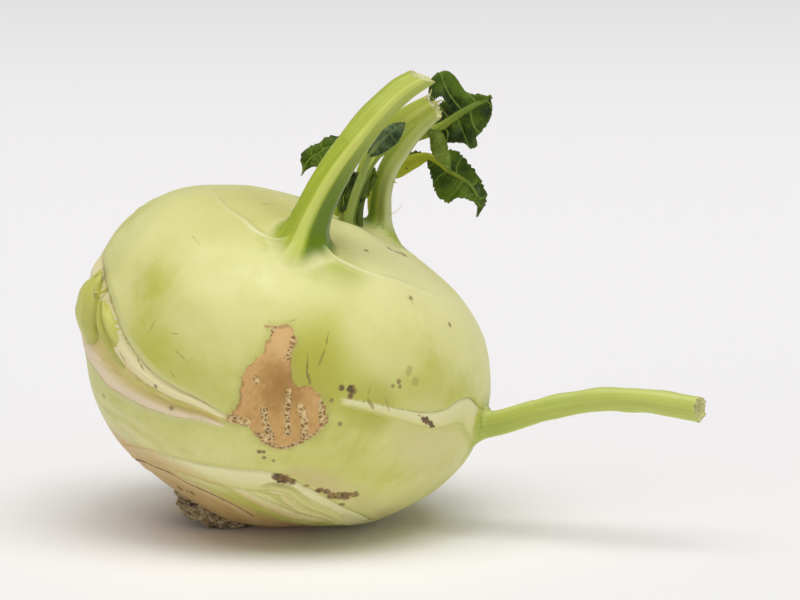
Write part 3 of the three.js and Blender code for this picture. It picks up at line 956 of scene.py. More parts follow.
def make_skin():
    recipe = Recipe("kohlrabi skin", Subsurface_Weight=0.12, Subsurface_Scale=0.003)
    recipe.surface.inputs["Subsurface Radius"].default_value = FLESH
    upright = along_axis(recipe)
    names = ("across", "scar", "cork", "torn", "crest")
    across, scar, cork, torn_mark, crest = (recipe.mark(name) for name in names)
    foot, tone, grain, _, near = foot_tones(recipe)
    ragged = recipe.noise(1.6, 4, 0.65)
    wander = recipe.noise(8, 3, 0.6) - 0.5
    torn = recipe.noise(1, 4, 0.7, recipe.vector("MULTIPLY", upright, (0.12, 0.12, 1.1)))
    height = part_of(recipe, upright, "Z") + ragged * 4
    for longitude, latitude, wide, tint, strength in TONES:
        patch = spot(recipe, longitude, latitude, wide, wander, 0.8)
        tone = recipe.mix(patch * strength, tone, TINTS[tint])
    tone = banded_tones(recipe, tone, upright, height, wander)

    fresh, healed = scar_tones(recipe, upright, height, across, torn)
    shows = scar.step(0.1, 0.6) * across.step(-0.25, -0.03) * across.step(1.3, 1.04)
    tone = recipe.over(
        tone, (shows * torn_mark.step(0.1, 0.9), fresh), (shows * torn_mark.step(0.9, 0.2) * 0.85, healed))

    for longitude, latitude, to_longitude, to_latitude, wide, dark in SCRATCHES:
        scored = scratch(recipe, (longitude, to_longitude), (latitude, to_latitude), wide, ragged)
        tone = recipe.mix(scored * dark, tone, (134, 118, 56))
    tone = recipe.mix(root_line(recipe, ragged) * 0.85, tone, (122, 88, 44))
    lens = scratch(recipe, (41, 49), (12.8, 10.8), 1.7, ragged)
    tone = recipe.mix(lens * 0.95, tone, (98, 62, 34))
    crumbs = recipe.cells(0.7).step(0.25, 0.45)
    scab = recipe.mix(crumbs * ragged.step(0.3, 0.6), (70, 46, 20), (146, 112, 60))
    for longitude, latitude, wide, dark in SPOTS:
        tone = recipe.mix(spot(recipe, longitude, latitude, wide, ragged) * dark, tone, scab)

    edge = cork + (ragged - 0.5) * 2.6
    patch = edge.step(-0.2, 0.3)
    tan, laced, net = cork_tones(recipe, upright, cork, edge, ragged)
    tone = recipe.over(
        tone,
        (edge.step(-1.8, 0.1) * 0.4, (176, 164, 84)),
        (patch, tan),
        # Painted highlight along the raised line of the wings.
        (crest.step(0.06, 0.6) * 0.65, (233, 231, 184)),
        (near.step(0.1, 0.26), foot))
    bump = recipe.bump(grain, 0.04)
    bump = recipe.bump(torn * scar * torn_mark * across.step(0.05, 0.2), 0.5, bump)
    bump = recipe.bump(net.step(0.0, 0.2) * laced * patch * -1 + ragged * patch, 0.25, bump)
    rough = recipe.noise(3, 3, 0.5).step(0.3, 0.7, 0.4, 0.52) + patch * 0.35 + scar * 0.1
    return recipe.finish(Base_Color=tone, Roughness=rough, Normal=bump)


SKIN = make_skin()

# %% [markdown]
# ## The finish of the stalks
# The stalks share the skin's colours at their feet. A cut end is paler inside, mottled in its pith, and has
# dried a little brown along its rim.


# %% Stalk finish
def make_stalk_finish(name, tint=(0, 0, 0), amount=0.0, hollow=0.0, painted_light_side=0.0):
    """Tinted by a share of one colour, darker in its groove, and with a painted light down one side if
    asked.
    """
    recipe = Recipe(name, Subsurface_Weight=0.12, Subsurface_Scale=0.002, Specular_IOR_Level=0.3)
    recipe.surface.inputs["Subsurface Radius"].default_value = FLESH
    cut, turn, right = (recipe.mark(name) for name in ("cut", "turn", "right"))
    tone, _, _, streaks, near = foot_tones(recipe, tint, amount)
    # Painted light: a pale band down the side of the stalk that faces the light.
    sunlit = turn.step(0.26, 0.42) * right.step(-0.6, -0.97) * near.step(0.6, 0.95)
    pith = recipe.noise(0.7, 4, 0.7)
    dried = cut.step(0.15, 0.4) * cut.step(0.75, 0.45) * pith.step(0.35, 0.55)
    inside = recipe.mix(pith.step(0.4, 0.65), (226, 226, 168), (190, 194, 112))
    tone = recipe.over(
        tone,
        (turn.step(0.74, 0.94) * hollow, (176, 170, 72)),
        (sunlit * painted_light_side, (206, 210, 166)),
        (cut.step(0.1, 0.35), recipe.mix(dried * 0.6, inside, (176, 152, 92))))
    bump = recipe.bump(streaks * near.step(0.3, 0.9), 0.12)
    bump = recipe.bump(pith * cut, 0.5, bump)
    rough = streaks.step(0.3, 0.7, 0.34, 0.46) + cut * 0.15
    return recipe.finish(Base_Color=tone, Roughness=rough, Normal=bump)


STALK = make_stalk_finish("stalk")
PALE_STALK = make_stalk_finish("pale stalk", (206, 212, 132), 0.35)
# The back stalk: its darker tint is painted shade, and its pale side painted light.
SHADE_PAINTED_STALK = make_stalk_finish("shaded stalk", (128, 144, 58), 0.35, painted_light_side=0.55)
TORN_STALK = make_stalk_finish("torn stub", (222, 214, 148), 0.8, 0.4)
DRY_STALK = make_stalk_finish("drying stub", (204, 200, 108), 0.7, 0.8)

# %% [markdown]
# ## The ball
# The swollen stem itself, which is nearly all of a kohlrabi. Its mesh and marks are ready, so it only
# has to be made. It is one closed piece: two halves would leave a seam for the finish to hide.

# %% Make the ball
make_piece("ball", ball, ball_faces, SKIN, ["bulb"], ball_marks)

# %% [markdown]
# ## The mesh of a stalk
# The rings of a stalk start inside the ball. Those near its surface spread outward until they lie on
# the shared surface, which makes the foot. At the cut end the rings turn inward over a rim and down
# into the pith.

# %% From a stalk to a mesh
NEAR_BALL = 62  # a stalk's rings this near the ball's middle, in mm, can spread over it
# The rings of a cut end: their size, their height in mm or as a share of the hollow, and how cut they are.
RIM = ((0.97, 0.12, 0.3), (0.9, 0.16, 0.5), (0.84, -0.1, 0.7))
PITH = ((0.78, 0.6, 0.9), (0.55, 1.0, 1.0), (0.3, 0.9, 1.0), (0.1, 0.8, 1.0))


def stalk_mesh(stalk, hollow=0.5, tilt=(0.0, 0.0), columns=64, frayed=0.0):
    """A stalk whose foot spreads over the ball and whose cut end is hollowed."""
    turn = np.linspace(-math.pi, math.pi, columns, endpoint=False)
    turn = np.tile(turn, (len(stalk.step), 1))
    step = np.tile(stalk.step[:, None], (1, columns))
    sine, cosine = np.sin(turn)[..., None], np.cos(turn)[..., None]
    spread = sine * stalk.side[:, None] + stalk.flat * cosine * stalk.out[:, None]
    rings = stalk.line[:, None] + stalk.section(turn, step)[..., None] * spread
    wobble = 0.04 * stalk.radius[:, None] * hills(rings.reshape(-1, 3), 9, 11).reshape(step.shape)
    rings += wobble[..., None] * spread
    spread = unit(spread)
    at_foot = np.linalg.norm(stalk.line - MIDDLE, axis=1) < NEAR_BALL
    moved, share = settle(rings[at_foot].reshape(-1, 3), spread[at_foot].reshape(-1, 3), stalk)
    moved -= 0.5 * ease(1 - share, 0.82, 0.97)
    rings[at_foot] += moved.reshape(-1, columns)[..., None] * spread[at_foot]
    slant = ease(step, 0.8, 1)[..., None] * (tilt[0] * sine + tilt[1] * cosine)
    rings += slant * stalk.along[:, None]

    end, middle = rings[-1], rings[-1].mean(0)
    rough = hills(end, 1.4, 5) * frayed
    inner, cuts = [], []
    for size, height, cut in (*RIM, *((size, -hollow * share, cut) for size, share, cut in PITH)):
        height = height + 0.1 * hills(end * (1 + size), 1.2, 8) + rough * (size > 0.8)
        inner.append(middle + size * (end - middle) + height[:, None] * stalk.along[-1])
        cuts.append(np.full(columns, cut))
    points, faces = tube(np.concatenate([rings, inner]))

    def to_the_pith(values):
        """Values on the rings of the stalk, with the last ring's repeated on those of its cut end."""
        return ring_marks(np.concatenate([values, np.repeat(values[-1:], len(inner), 0)]))

    low = np.linalg.norm(points - MIDDLE, axis=1) < NEAR_BALL
    near = np.ones(len(points))
    near[low] = np.exp(-np.maximum(stalk.nearby(points[low])[0], 0) / FOOT_FADE)
    marks = {"near_stalk": near, "cut": ring_marks(np.concatenate([0 * step, cuts]))}
    values = {"turn": abs(turn) / math.pi, "right": np.sin(turn), "step": step}
    return points, faces, marks | {name: to_the_pith(value) for name, value in values.items()}


print("a cut end has", len(RIM) + len(PITH), "rings, down to the pith")

# %% [markdown]
# ## Shreds, and several parts in one piece
# Where a stalk was cut or torn, a few fibres and shreds of skin stand up. Each is a thin closed tube,
# joined to its stalk as one piece, because nobody would handle or colour it on its own.


# %% Shreds
def strand(points, thick, cut=0.6, columns=8, count=24):
    """A thin fibre or shred of skin."""
    widths = [(0, thick), (0.6, thick * 0.8), (1, thick * 0.3)]
    line = Stalk(points, (0.3, -1, 0.2), widths, keel=0, groove=0, count=count)
    turn = np.linspace(-math.pi, math.pi, columns, endpoint=False)[:, None]
    around = np.sin(turn) * line.side[:, None] + np.cos(turn) * line.out[:, None]
    tube_points, faces = tube(line.line[:, None] + line.radius[:, None, None] * around)
    return tube_points, faces, {"near_stalk": 1.0, "turn": 0.9, "right": 0.0, "step": 0.9, "cut": cut}


def together(parts):
    """Several (points, faces, marks) as one, without points that no face uses."""
    points, faces, marks = [], [], {name: [] for name in parts[0][2]}
    start = 0
    for part_points, part_faces, part_marks in parts:
        used = np.unique(np.concatenate([np.array(face) for face in part_faces]))
        place = np.zeros(len(part_points), int)
        place[used] = np.arange(len(used)) + start
        faces += [place[face].tolist() for face in part_faces]
        points.append(part_points[used])
        for name in marks:
            marks[name].append(np.broadcast_to(part_marks[name], len(part_points))[used])
        start += len(used)
    return np.concatenate(points), faces, {name: np.concatenate(values) for name, values in marks.items()}


def grow(name, parts, finish, node):
    points, faces, marks = together(parts)
    return make_piece(name, points, faces, finish, [node], marks)


print("a shred takes", len(strand(FRONT.line[:9], 0.5)[1]), "faces")

# %% [markdown]
# ## The stalks and stubs
# Four stalks stand on the ball: a stout one in front, a grooved one behind, a flat one between them and
# a long one to the side. On the left scar the torn foot of a leaf is left as a tab with a strip inside
# it, and a thin shred lies where another was pulled off lower down. All are stalks with other widths,
# so that one function makes every one of them.

# %% Make the stalks
TAB = Stalk(
    [(-41, -9, 39), (-45, -13, 43), (-47.2, -17, 48), (-47.3, -19.4, 53), (-46.7, -18.8, 57),
     (-45, -18, 61)],
    (-0.87, -0.5, 0), [(0, 1.2), (0.2, 3.4), (0.4, 7), (0.6, 9.6), (0.82, 8), (0.94, 5), (1, 2.4)],
    keel=0.0, groove=0.2, flat=0.42, melt=1.2)
INNER = Stalk(
    [(-36.5, -30.4, 42), (-39.6, -28.8, 45.6), (-42, -27.2, 48.9), (-43.2, -26, 52), (-43.5, -24.8, 55.8)],
    (0.6, 0.8, 0), [(0, 1.6), (0.35, 4.4), (0.7, 4.0), (1, 1.6)], keel=0.0, groove=0.8, flat=0.7, melt=1.5)
UNDER = Stalk(
    [(-7.5, -37, 16), (-4.6, -38.6, 16.2), (-1.4, -38.3, 15.4), (1, -36.4, 13), (3.4, -34.2, 11.1),
     (6.4, -32.2, 9.5), (9.5, -28.6, 7)],
    (0, -1, -0.4), [(0, 0.8), (0.2, 1.4), (0.6, 1.6), (1, 0.9)], keel=0.0, groove=0.0, flat=0.8, melt=1.0)

grow("front_leaf_stalk", [stalk_mesh(FRONT, 0.5, (2.0, -0.7))], STALK, "front_stalk")
grow("back_leaf_stalk", [
    stalk_mesh(BACK, 0.9, (0.8, 0.3), frayed=0.35),
    strand([(20.6, 10, 70.4), (22.4, 9.5, 71.6), (23.8, 9, 73.4)], 0.14),
    strand([(20.6, 10, 77.4), (21.8, 9.5, 78.2), (22.4, 9, 78)], 0.5),
    strand([(31.2, 8.4, 96.2), (32.4, 7.4, 97.4), (33.4, 7, 97.2)], 0.5),
], SHADE_PAINTED_STALK, "back_stalk")
grow("middle_leaf_stalk", [
    stalk_mesh(MIDDLE_STALK, 0.5, columns=32, frayed=0.35),
    strand([(28.6, -2.4, 98.6), (29.8, -3, 99.8), (30.2, -3, 101)], 0.5),
], STALK, "middle_stalk")
grow("side_leaf_stalk", [stalk_mesh(SIDE, 1.4, (0.3, 0.3), frayed=0.3)], PALE_STALK, "side_stalk")
grow("left_tab", [
    stalk_mesh(TAB, 1.0, (0.8, -0.8), columns=48, frayed=0.4),
    strand([(-45.4, -22.6, 57.2), (-43.6, -22.6, 57.4), (-42, -22.2, 58.8), (-41.2, -21.8, 60.8)], 0.55, 0),
    strand([(-45.2, -21.6, 60.6), (-44.4, -22, 61.4), (-43.4, -22, 61.8)], 0.5, 0),
    strand([(-44.8, -22.4, 55.4), (-45.4, -22.6, 57), (-45, -22.4, 59)], 0.4, 0.4),
], DRY_STALK, "left_stub")
inner_strip = stalk_mesh(INNER, 0.8, columns=32, frayed=0.4)
grow("left_inner_strip", [inner_strip], DRY_STALK, "left_inner_stub")
grow("under_shred", [stalk_mesh(UNDER, 0.8, columns=40, frayed=0.5)], TORN_STALK, "under_stub")

# %% [markdown]
# ## The root end
# The root was cut off short and its end has dried to grey-brown cork, lumpy and cracked, with dark holes
# between the lumps and painted shade darkening its creases. It is a flattened sphere pushed in and out by
# hills of three sizes, the smallest of them folded into sharp creases.

# %% Make the root end
ROOT_MIDDLE = MIDDLE - 33.5 * AXES[2]
ROOT_REACH = [9.9, 9.8, 4.6]  # from its middle to its sides and to its end, in mm


def make_root_cork():
    recipe = Recipe("root cork", Roughness=0.85)
    crumbs = recipe.noise(1.1, 5, 0.7)
    tone = recipe.over(
        (132, 108, 72),
        (crumbs.step(0.35, 0.65), (204, 188, 152)),
        (recipe.cells(2.2).step(0.2, 0.08) * 0.8, (52, 38, 24)),
        # Painted shade darkening the creases.
        (recipe.mark("deep"), (44, 30, 18)))
    return recipe.finish(Base_Color=tone, Normal=recipe.bump(crumbs, 0.5))


root_directions, root_faces = split_sphere(6, lambda places: np.zeros(len(places)))
lumpy = root_directions * 9
creases = abs(hills(lumpy, 4.4, 32))
swell = 1 + 0.12 * hills(lumpy, 14, 31) + 0.13 * np.minimum(creases, 1.0) + 0.03 * hills(lumpy, 1.8, 33)
root = ROOT_MIDDLE + (root_directions * swell[:, None] * ROOT_REACH) @ AXES
root[:, 2] = np.maximum(root[:, 2], 0.05)
# The creases, which are painted dark as shade.
deep = ease(-creases, -0.22, 0)
make_piece("root_end", root, root_faces, make_root_cork(), ["root_stub"], {"deep": deep})

# %% [markdown]
# ## A sheet with two faces
# A leaf is thin but not flat paper: it needs two faces and an edge, or it would be see-through from
# behind and no solid. Both faces are made from one grid, pushed out to either side, and the edge is
# laid where a quad has no neighbour, so holes get their edge in the same way.


# %% A closed sheet
def sheet(grid, thick, keep):
    """The points and faces of a closed sheet round a grid of points, without the quads not in keep."""
    rows, columns = grid.shape[:2]
    normal = np.cross(np.gradient(grid, axis=0), np.gradient(grid, axis=1))
    normal /= np.linalg.norm(normal, axis=2, keepdims=True) + 1e-9
    points = np.concatenate([(grid + normal * side * thick / 2).reshape(-1, 3) for side in (1, -1)])
    quads = [quad for quad, kept in zip(grid_faces(rows, columns), keep) if kept]
    edges = {(a, b) for quad in quads for a, b in zip(quad, quad[1:] + quad[:1])}
    under = rows * columns
    faces = quads + [[i + under for i in reversed(quad)] for quad in quads]
    faces += [[b, a, a + under, b + under] for a, b in sorted(edges) if (b, a) not in edges]
    return points, faces


flat_grid = np.stack([*np.meshgrid(np.arange(3.0), np.arange(3.0), indexing="ij"), np.zeros((3, 3))], -1)
print("a sheet of four quads closes with", len(sheet(flat_grid, 0.2, [True] * 4)[1]), "faces")

# %% [markdown]
# ## Leaves
# A young leaf is a thin sheet on both sides of a rib, lobed and toothed, puffed up between its side
# veins. Each half is given by its outline, in mm along the rib and out from it, because the leaves are
# all torn and curled in their own way. The grid's rows run from the rib to the outline as side veins
# do, so the veins follow them. Stem and rib are one tube that tapers along the same line.


# %% Blades and stems
def blade(rib, facing, far, near, veins, puff, fold=0.0, teeth=0.25, tooth=1.5, crinkle=0.25, lifts=(),
          holes=(), thick=0.25, rows=130, half=22, seed=1, start=0, pale=0.0):
    """A leaf blade from the place `start` points along a rib; far and near are its two outlines."""
    line = smooth_line(rib[start:], 120)
    along = unit(np.gradient(line, axis=0))
    facing = np.array(facing, float)
    out = unit(facing - (along @ facing)[:, None] * along)
    side = np.cross(along, out)
    length = np.linalg.norm(np.diff(line, axis=0), axis=1).sum()
    row = np.linspace(0, 1, rows)[:, None]
    halves = []
    for sign, outline_points in ((-1, far), (1, near)):
        edge = smooth_line(outline_points, rows)
        run = np.concatenate([[0], np.cumsum(np.linalg.norm(np.diff(edge, axis=0), axis=1))])
        saw = (run / tooth + 0.25 * np.sin(run * 1.7 + seed)) % 1
        saw = np.minimum(saw / 0.7, (1 - saw) / 0.3) * teeth * np.minimum(1, edge[:, 1] / 1.5)
        share = np.linspace(0, 1, half + 1)[None, :]
        a = (1 - share) * row * length + share * edge[:, :1]
        p = share * (edge[:, 1:] + saw[:, None] * share**3)
        place = row * veins + 0.5 * (sign > 0) + 0.18 * np.sin(3 * share) * np.sin(9 * row + seed)
        halves.append((a, sign * p, place, np.broadcast_to(share, a.shape)))
    a, p, place, share = (np.concatenate([left[:, :0:-1], right], axis=1) for left, right in zip(*halves))
    gap = abs((place + 0.5) % 1 - 0.5) * length / veins
    vein = np.exp(-(gap / (0.26 - 0.16 * share)) ** 2) * (share < 0.97)
    flat = np.stack([a, p, 0 * a], -1)
    pillow = np.sin(math.pi * (place % 1)) ** 2 * np.sin(math.pi * np.minimum(share * 1.1, 1))
    rise = puff * pillow + 0.12 * vein
    rise = rise + crinkle * share * hills(flat.reshape(-1, 3), 5, seed + 20).reshape(a.shape)
    for (centre_a, centre_p), wide, height in lifts:
        rise = rise + height * np.exp(-((a - centre_a) ** 2 + (p - centre_p) ** 2) / wide**2)
    steps = np.linspace(0, length, len(line))
    over = (a - np.clip(a, 0, length))[..., None]
    spot = np.stack([np.interp(a, steps, line[:, i]) for i in range(3)], -1)
    index = np.clip((a / length * (len(line) - 1)).astype(int), 0, len(line) - 1)
    grid = spot + over * along[index] + side[index] * (p * math.cos(fold))[..., None]
    grid = grid + out[index] * (rise + abs(p) * math.sin(fold))[..., None]
    middle = [(g[:-1, :-1] + g[1:, 1:]) / 2 for g in (a, p)]
    keep = np.ones(middle[0].shape, bool)
    for (centre_a, centre_p), wide, high in holes:
        keep &= ((middle[0] - centre_a) / wide) ** 2 + ((middle[1] - centre_p) / high) ** 2 > 1
    points, faces = sheet(grid, thick, keep.ravel())
    marks = {"vein": np.tile(vein.ravel(), 2), "stem": 0.0, "edge": np.tile(share.ravel(), 2), "pale": pale}
    return points, faces, marks


def stem(points, facing, widths, flat=0.8, keel=0.1, columns=20, count=110, blade_from=0.5):
    """The stalk and rib of a leaf as one tapering closed tube."""
    stalk = Stalk(points, facing, widths, keel=keel, groove=0.1, flat=flat, count=count)
    turn = np.linspace(-math.pi, math.pi, columns, endpoint=False)
    turn, step = np.tile(turn, (count, 1)), np.tile(stalk.step[:, None], (1, columns))
    radius = stalk.section(turn, step)[..., None]
    rings = stalk.line[:, None] + radius * np.sin(turn)[..., None] * stalk.side[:, None]
    rings = rings + flat * radius * np.cos(turn)[..., None] * stalk.out[:, None]
    tube_points, faces = tube(rings)
    leafy = ease(step, blade_from - 0.05, blade_from + 0.25)
    return tube_points, faces, {"vein": 1.0, "stem": ring_marks(1 - leafy), "edge": 0.0, "pale": 0.0}


print("a stem takes", len(stem(FRONT.line[:9], (0, -1, 0), [(0, 1), (1, 1)])[1]), "faces")

# %% [markdown]
# ## The finish of the leaves
# Dark green between pale veins, with a net of fine veinlets and soft random patches of thin grey bloom:
# partly wax, partly a painted sheen of the kind that shows where a leaf turns over. The stem of each leaf is
# paler and yellower than its blade.


# %% Leaf finishes
def make_leaf_finish(name, dark, light, vein_tone, stem_tone, bloom, veined):
    """Bloom is the share of grey wax and painted sheen over the blade, and veined that of the veins' own
    colour.
    """
    recipe = Recipe(name, Specular_IOR_Level=0.18)
    patches = recipe.noise(6, 4, 0.6).step(0.35, 0.65)
    net = recipe.cells(1.1, "DISTANCE_TO_EDGE").step(0.1, 0.0)
    wax_and_sheen = recipe.noise(3.5, 4, 0.7).step(0.5, 0.75)
    tone = recipe.over(
        dark,
        (patches, light),
        (net * 0.13, vein_tone),
        # Grey bloom: partly wax, partly painted sheen.
        (wax_and_sheen * bloom, (138, 158, 104)),
        (recipe.mark("pale") * 0.8, recipe.mix(patches, (98, 118, 34), (124, 142, 56))),
        (recipe.mark("vein").step(0.25, 0.85) * veined, vein_tone),
        (recipe.mark("stem"), stem_tone),
        (recipe.mark("edge").step(0.93, 1.0) * 0.35, vein_tone))
    bump = recipe.bump(recipe.noise(0.5, 3, 0.6), 0.05)
    bump = recipe.bump(net * -1, 0.08, bump)
    return recipe.finish(Base_Color=tone, Roughness=wax_and_sheen.step(0, 1, 0.42, 0.6), Normal=bump)


LEAF = make_leaf_finish("leaf", (22, 38, 2), (84, 110, 26), (124, 146, 58), (162, 178, 66), 0.15, 0.75)
BRIGHT_LEAF = make_leaf_finish(
    "bright leaf", (40, 62, 0), (74, 98, 6), (112, 134, 40), (150, 166, 52), 0.04, 0.6)
GREY_LEAF = make_leaf_finish(
    "grey leaf", (44, 62, 30), (92, 112, 76), (108, 128, 84), (150, 166, 84), 0.6, 0.5)
HANGING_LEAF = make_leaf_finish(
    "hanging leaf", (42, 62, 4), (88, 114, 22), (122, 144, 56), (176, 182, 48), 0.1, 0.65)
HEART_LEAF = make_leaf_finish(
    "heart leaf", (34, 48, 10), (72, 92, 24), (92, 112, 38), (160, 172, 84), 0.15, 0.5)
BUD_LEAF = make_leaf_finish("bud leaf", (34, 48, 10), (80, 100, 24), (150, 164, 44), (86, 102, 34), 0.1, 0.6)

# %% [markdown]
# ## The upper leaf
# The largest leaf at the crown leans out to the upper right. It has two big lobes and a small hole, and
# a loose lobe hangs from its foot, which is a blade of its own on a short rib.

# %% Make the upper leaf
UPPER_RIB = [(11, 10.5, 63), (11.8, 11.5, 69), (13.5, 15, 77), (17.5, 17.5, 84), (23.5, 17, 87),
             (31.5, 15, 90), (37.8, 13.5, 94.2), (44.2, 12.5, 97.8)]
HANGING_RIB = [(29.4, 13.5, 90), (31.4, 11.8, 88.4), (33, 11, 85.2), (34.8, 10.4, 80.2)]
upper = [
    stem(UPPER_RIB, (0.1, -1, 0.25), [(0, 2.8), (0.5, 3), (0.66, 2.6), (0.75, 2.1), (0.9, 1.6), (1, 1.1)],
         blade_from=0.66),
    blade(UPPER_RIB, (0.1, -1, 0.25),
          [(0, 1.4), (1, 3.4), (2.2, 5.6), (2.6, 8.2), (4.3, 10.4), (6.6, 10.8), (8.8, 9.8), (9.9, 7.2),
           (9.9, 4.6), (11, 2.6), (13, 1.6), (14.6, 0.2)],
          [(-1.6, 1.4), (-0.4, 3.2), (1.6, 4.6), (3.8, 6.2), (5.0, 8.3), (6.4, 8.4), (7.2, 6.6), (9.6, 5.8),
           (12.2, 4.6), (14, 2.2), (14.6, 0.2)],
          veins=4, puff=0.45, teeth=0.3, tooth=2.6, crinkle=0.3, holes=[((4.0, -5.2), 1.3, 0.8)],
          lifts=[((4, -12), 4.5, -3.5), ((4, 9.5), 3, 1.4), ((14.5, -2), 1.6, 1.4)], seed=3, start=5),
    blade(HANGING_RIB, (0.3, -1, 0.2),
          [(0, 0.5), (2.5, 2.0), (5, 1.8), (7.5, 1.2), (10, 0.7), (11.6, 0.1)],
          [(0, 0.5), (2.5, 1.4), (5, 2.4), (7.5, 2.4), (10, 1.0), (11.6, 0.1)],
          veins=4, puff=0.2, teeth=0.2, fold=-0.25, rows=80, half=12, seed=8, pale=1.0),
]
grow("upper_leaf_blade", upper, LEAF, "upper_leaf")

# %% [markdown]
# ## The hanging leaf
# It rises on a flat yellow-green stem, then its blade bends over and hangs down to a point. A narrow
# frill of blade runs back along the bend. The frill could be part of the large blade, but as a blade of
# its own it can face another way.

# %% Make the hanging leaf
LOWER_RIB = [(17, 17, 60), (17.4, 18.5, 67), (17.2, 20, 74), (18.9, 20, 78.4), (22.6, 20, 79.9),
             (26.4, 19.4, 81.9), (29.4, 18.6, 83), (34.8, 17.2, 79.6), (39.3, 15.4, 76.8),
             (41.2, 13.8, 73.4), (40.9, 12.4, 69.6)]
lower = [
    stem(LOWER_RIB, (0.1, -1, 0.3),
         [(0, 3.4), (0.36, 3.4), (0.45, 4), (0.54, 3.4), (0.62, 1.6), (0.8, 0.9), (1, 0.35)],
         flat=0.45, blade_from=0.62),
    blade(LOWER_RIB, (0.2, -1, 0.15),
          [(0, 0.5), (2, 2.8), (4.4, 4.8), (7.2, 4.4), (10, 3.4), (13, 2.6), (15.5, 2.2), (17.6, 1.2),
           (19.4, 0.2)],
          [(-0.6, 0.3), (1, 1.2), (3.6, 3.4), (6.6, 5.8), (9.4, 6.4), (11.4, 5.4), (13.8, 3.2), (16.4, 1.4),
           (19.4, 0.2)],
          veins=5, puff=0.3, teeth=0.55, tooth=1.5, fold=-0.12,
          lifts=[((14, -3), 3, -1.2), ((5, 7), 3, 0.8), ((18.5, 0), 2, 2.2)], seed=5, start=6),
    blade(LOWER_RIB[3:7], (0.1, -1, 0.6),
          [(0, 1.2), (2, 2.2), (5, 2.4), (8, 2.2), (10.6, 1.2), (11.6, 0.2)],
          [(0, 0.4), (4, 0.8), (8, 0.8), (11.6, 0.2)],
          veins=6, puff=0.3, teeth=0.5, tooth=0.9, crinkle=0.5, rows=90, half=10, seed=12),
]
grow("lower_leaf_blade", lower, HANGING_LEAF, "lower_leaf")

# %% [markdown]
# ## The left leaf and the curled one
# One small leaf lies over to the left, its tip turned down. The other is grey with wax and folded along
# its rib like a boat. Bent ribs do most of this: a rib is easier to shape than a finished blade, and the
# blade and its veins follow it.

# %% Make the left and the curled leaf
LEFT_RIB = [(7, 7, 64), (8, 7.5, 70), (9.6, 9, 77), (11, 11, 83), (10.4, 11, 86.2), (7.4, 10, 86.4),
            (4.3, 8.6, 85), (1.8, 7.2, 83.4), (0.3, 5.6, 80.2)]
left = [
    stem(LEFT_RIB, (0, -1, 0.5), [(0, 1.8), (0.5, 1.4), (0.75, 0.8), (1, 0.3)], blade_from=0.5),
    blade(LEFT_RIB, (-0.1, -1, 0.3),
          [(0, 2.2), (1.6, 3.0), (3.2, 2.6), (4.6, 3.8), (7.4, 4.1), (9.2, 3.0), (10.6, 1.2), (12, 0.2)],
          [(0, 2), (3, 2.4), (6, 2.0), (8.4, 2.3), (10, 2.0), (11.2, 0.9), (12, 0.2)],
          veins=4, puff=0.3, teeth=0.4, tooth=1.7, lifts=[((8, 4.5), 2, -1.0), ((11.5, 0), 2, -1.0)],
          seed=7, start=4),
]
CURLED_RIB = [(10.4, -1, 64), (11, -1.5, 70), (12.4, -2.6, 76), (14.6, -3.8, 82), (16.6, -5.6, 86.8),
              (20.4, -6.6, 91), (24.2, -7, 93.8)]
curled = [
    stem(CURLED_RIB, (-0.5, -1, 0.3), [(0, 2.0), (0.5, 1.9), (0.68, 1.2), (1, 0.4)], blade_from=0.62),
    blade(CURLED_RIB, (-0.3, -1, 0.3),
          [(-1, 0.6), (1.5, 1.5), (4, 2.0), (7, 1.9), (9, 1.2), (10.4, 0.2)],
          [(-1, 0.6), (1.5, 2.0), (4, 2.6), (7, 2.4), (9, 1.4), (10.4, 0.2)],
          veins=4, puff=0.3, fold=-0.4, teeth=0.15, tooth=1.2, crinkle=0.3, rows=90, half=14,
          seed=9, start=4),
]
grow("left_leaf_blade", left, BRIGHT_LEAF, "left_leaf")
grow("curled_leaf_blade", curled, GREY_LEAF, "curled_leaf")

# %% [markdown]
# ## The heart of the crown
# Three leaves have barely opened. They are made alike, as crumpled blades on short stems, and differ in
# their ribs, their width and the seed of their creases.

# %% Make the heart leaves
HEART_1 = [(9.5, 0.2, 69.7), (9.7, 0.2, 72.9), (10.2, 0.2, 76.4), (11.3, 0, 79.4), (12.7, -0.8, 81.8)]
HEART_2 = [(11.5, 2.6, 68.9), (11.4, 2.6, 72.6), (11.6, 2.6, 75.9), (12.4, 2.2, 78.7), (13.8, 1.5, 81.1)]
HEART_3 = [(13.3, 8, 67.7), (13.3, 8, 71.5), (13.7, 8, 74.2), (14.7, 8, 77), (15.8, 8, 79.4),
           (17, 7.5, 81.8)]


def heart_leaf(rib, wide, seed, widths, start):
    """A crumpled little leaf that has barely opened, from the place `start` points along its rib."""
    length = np.linalg.norm(np.diff(rib, axis=0), axis=1)[start:].sum()
    edge = [(-0.6, 0.4), (length * 0.2, wide), (length * 0.6, wide * 1.2), (length * 0.85, wide),
            (length, 0.2)]
    return [
        stem(rib, (0.1, -1, 0.1), widths, blade_from=0.75),
        blade(rib, (0.1, -1, 0.1), edge, edge, veins=3, puff=0.6, fold=0.5, teeth=0.6, tooth=1.2,
              crinkle=0.9, rows=80, half=12, seed=seed, start=start),
    ]


for where, rib, wide, seed, widths, start, finish, node in (
        ("left", HEART_1, 1.6, 41, [(0, 1.4), (1, 0.6)], 1, HEART_LEAF, "heart_leaf_1"),
        ("middle", HEART_2, 1.2, 43, [(0, 1.6), (1, 1)], 2, HEART_LEAF, "heart_leaf_2"),
        ("right", HEART_3, 1.5, 47, [(0, 2.4), (0.7, 2.6), (1, 1)], 2, BUD_LEAF, "heart_leaf_3")):
    grow(f"heart_leaf_{where}", heart_leaf(rib, wide, seed, widths, start), finish, node)
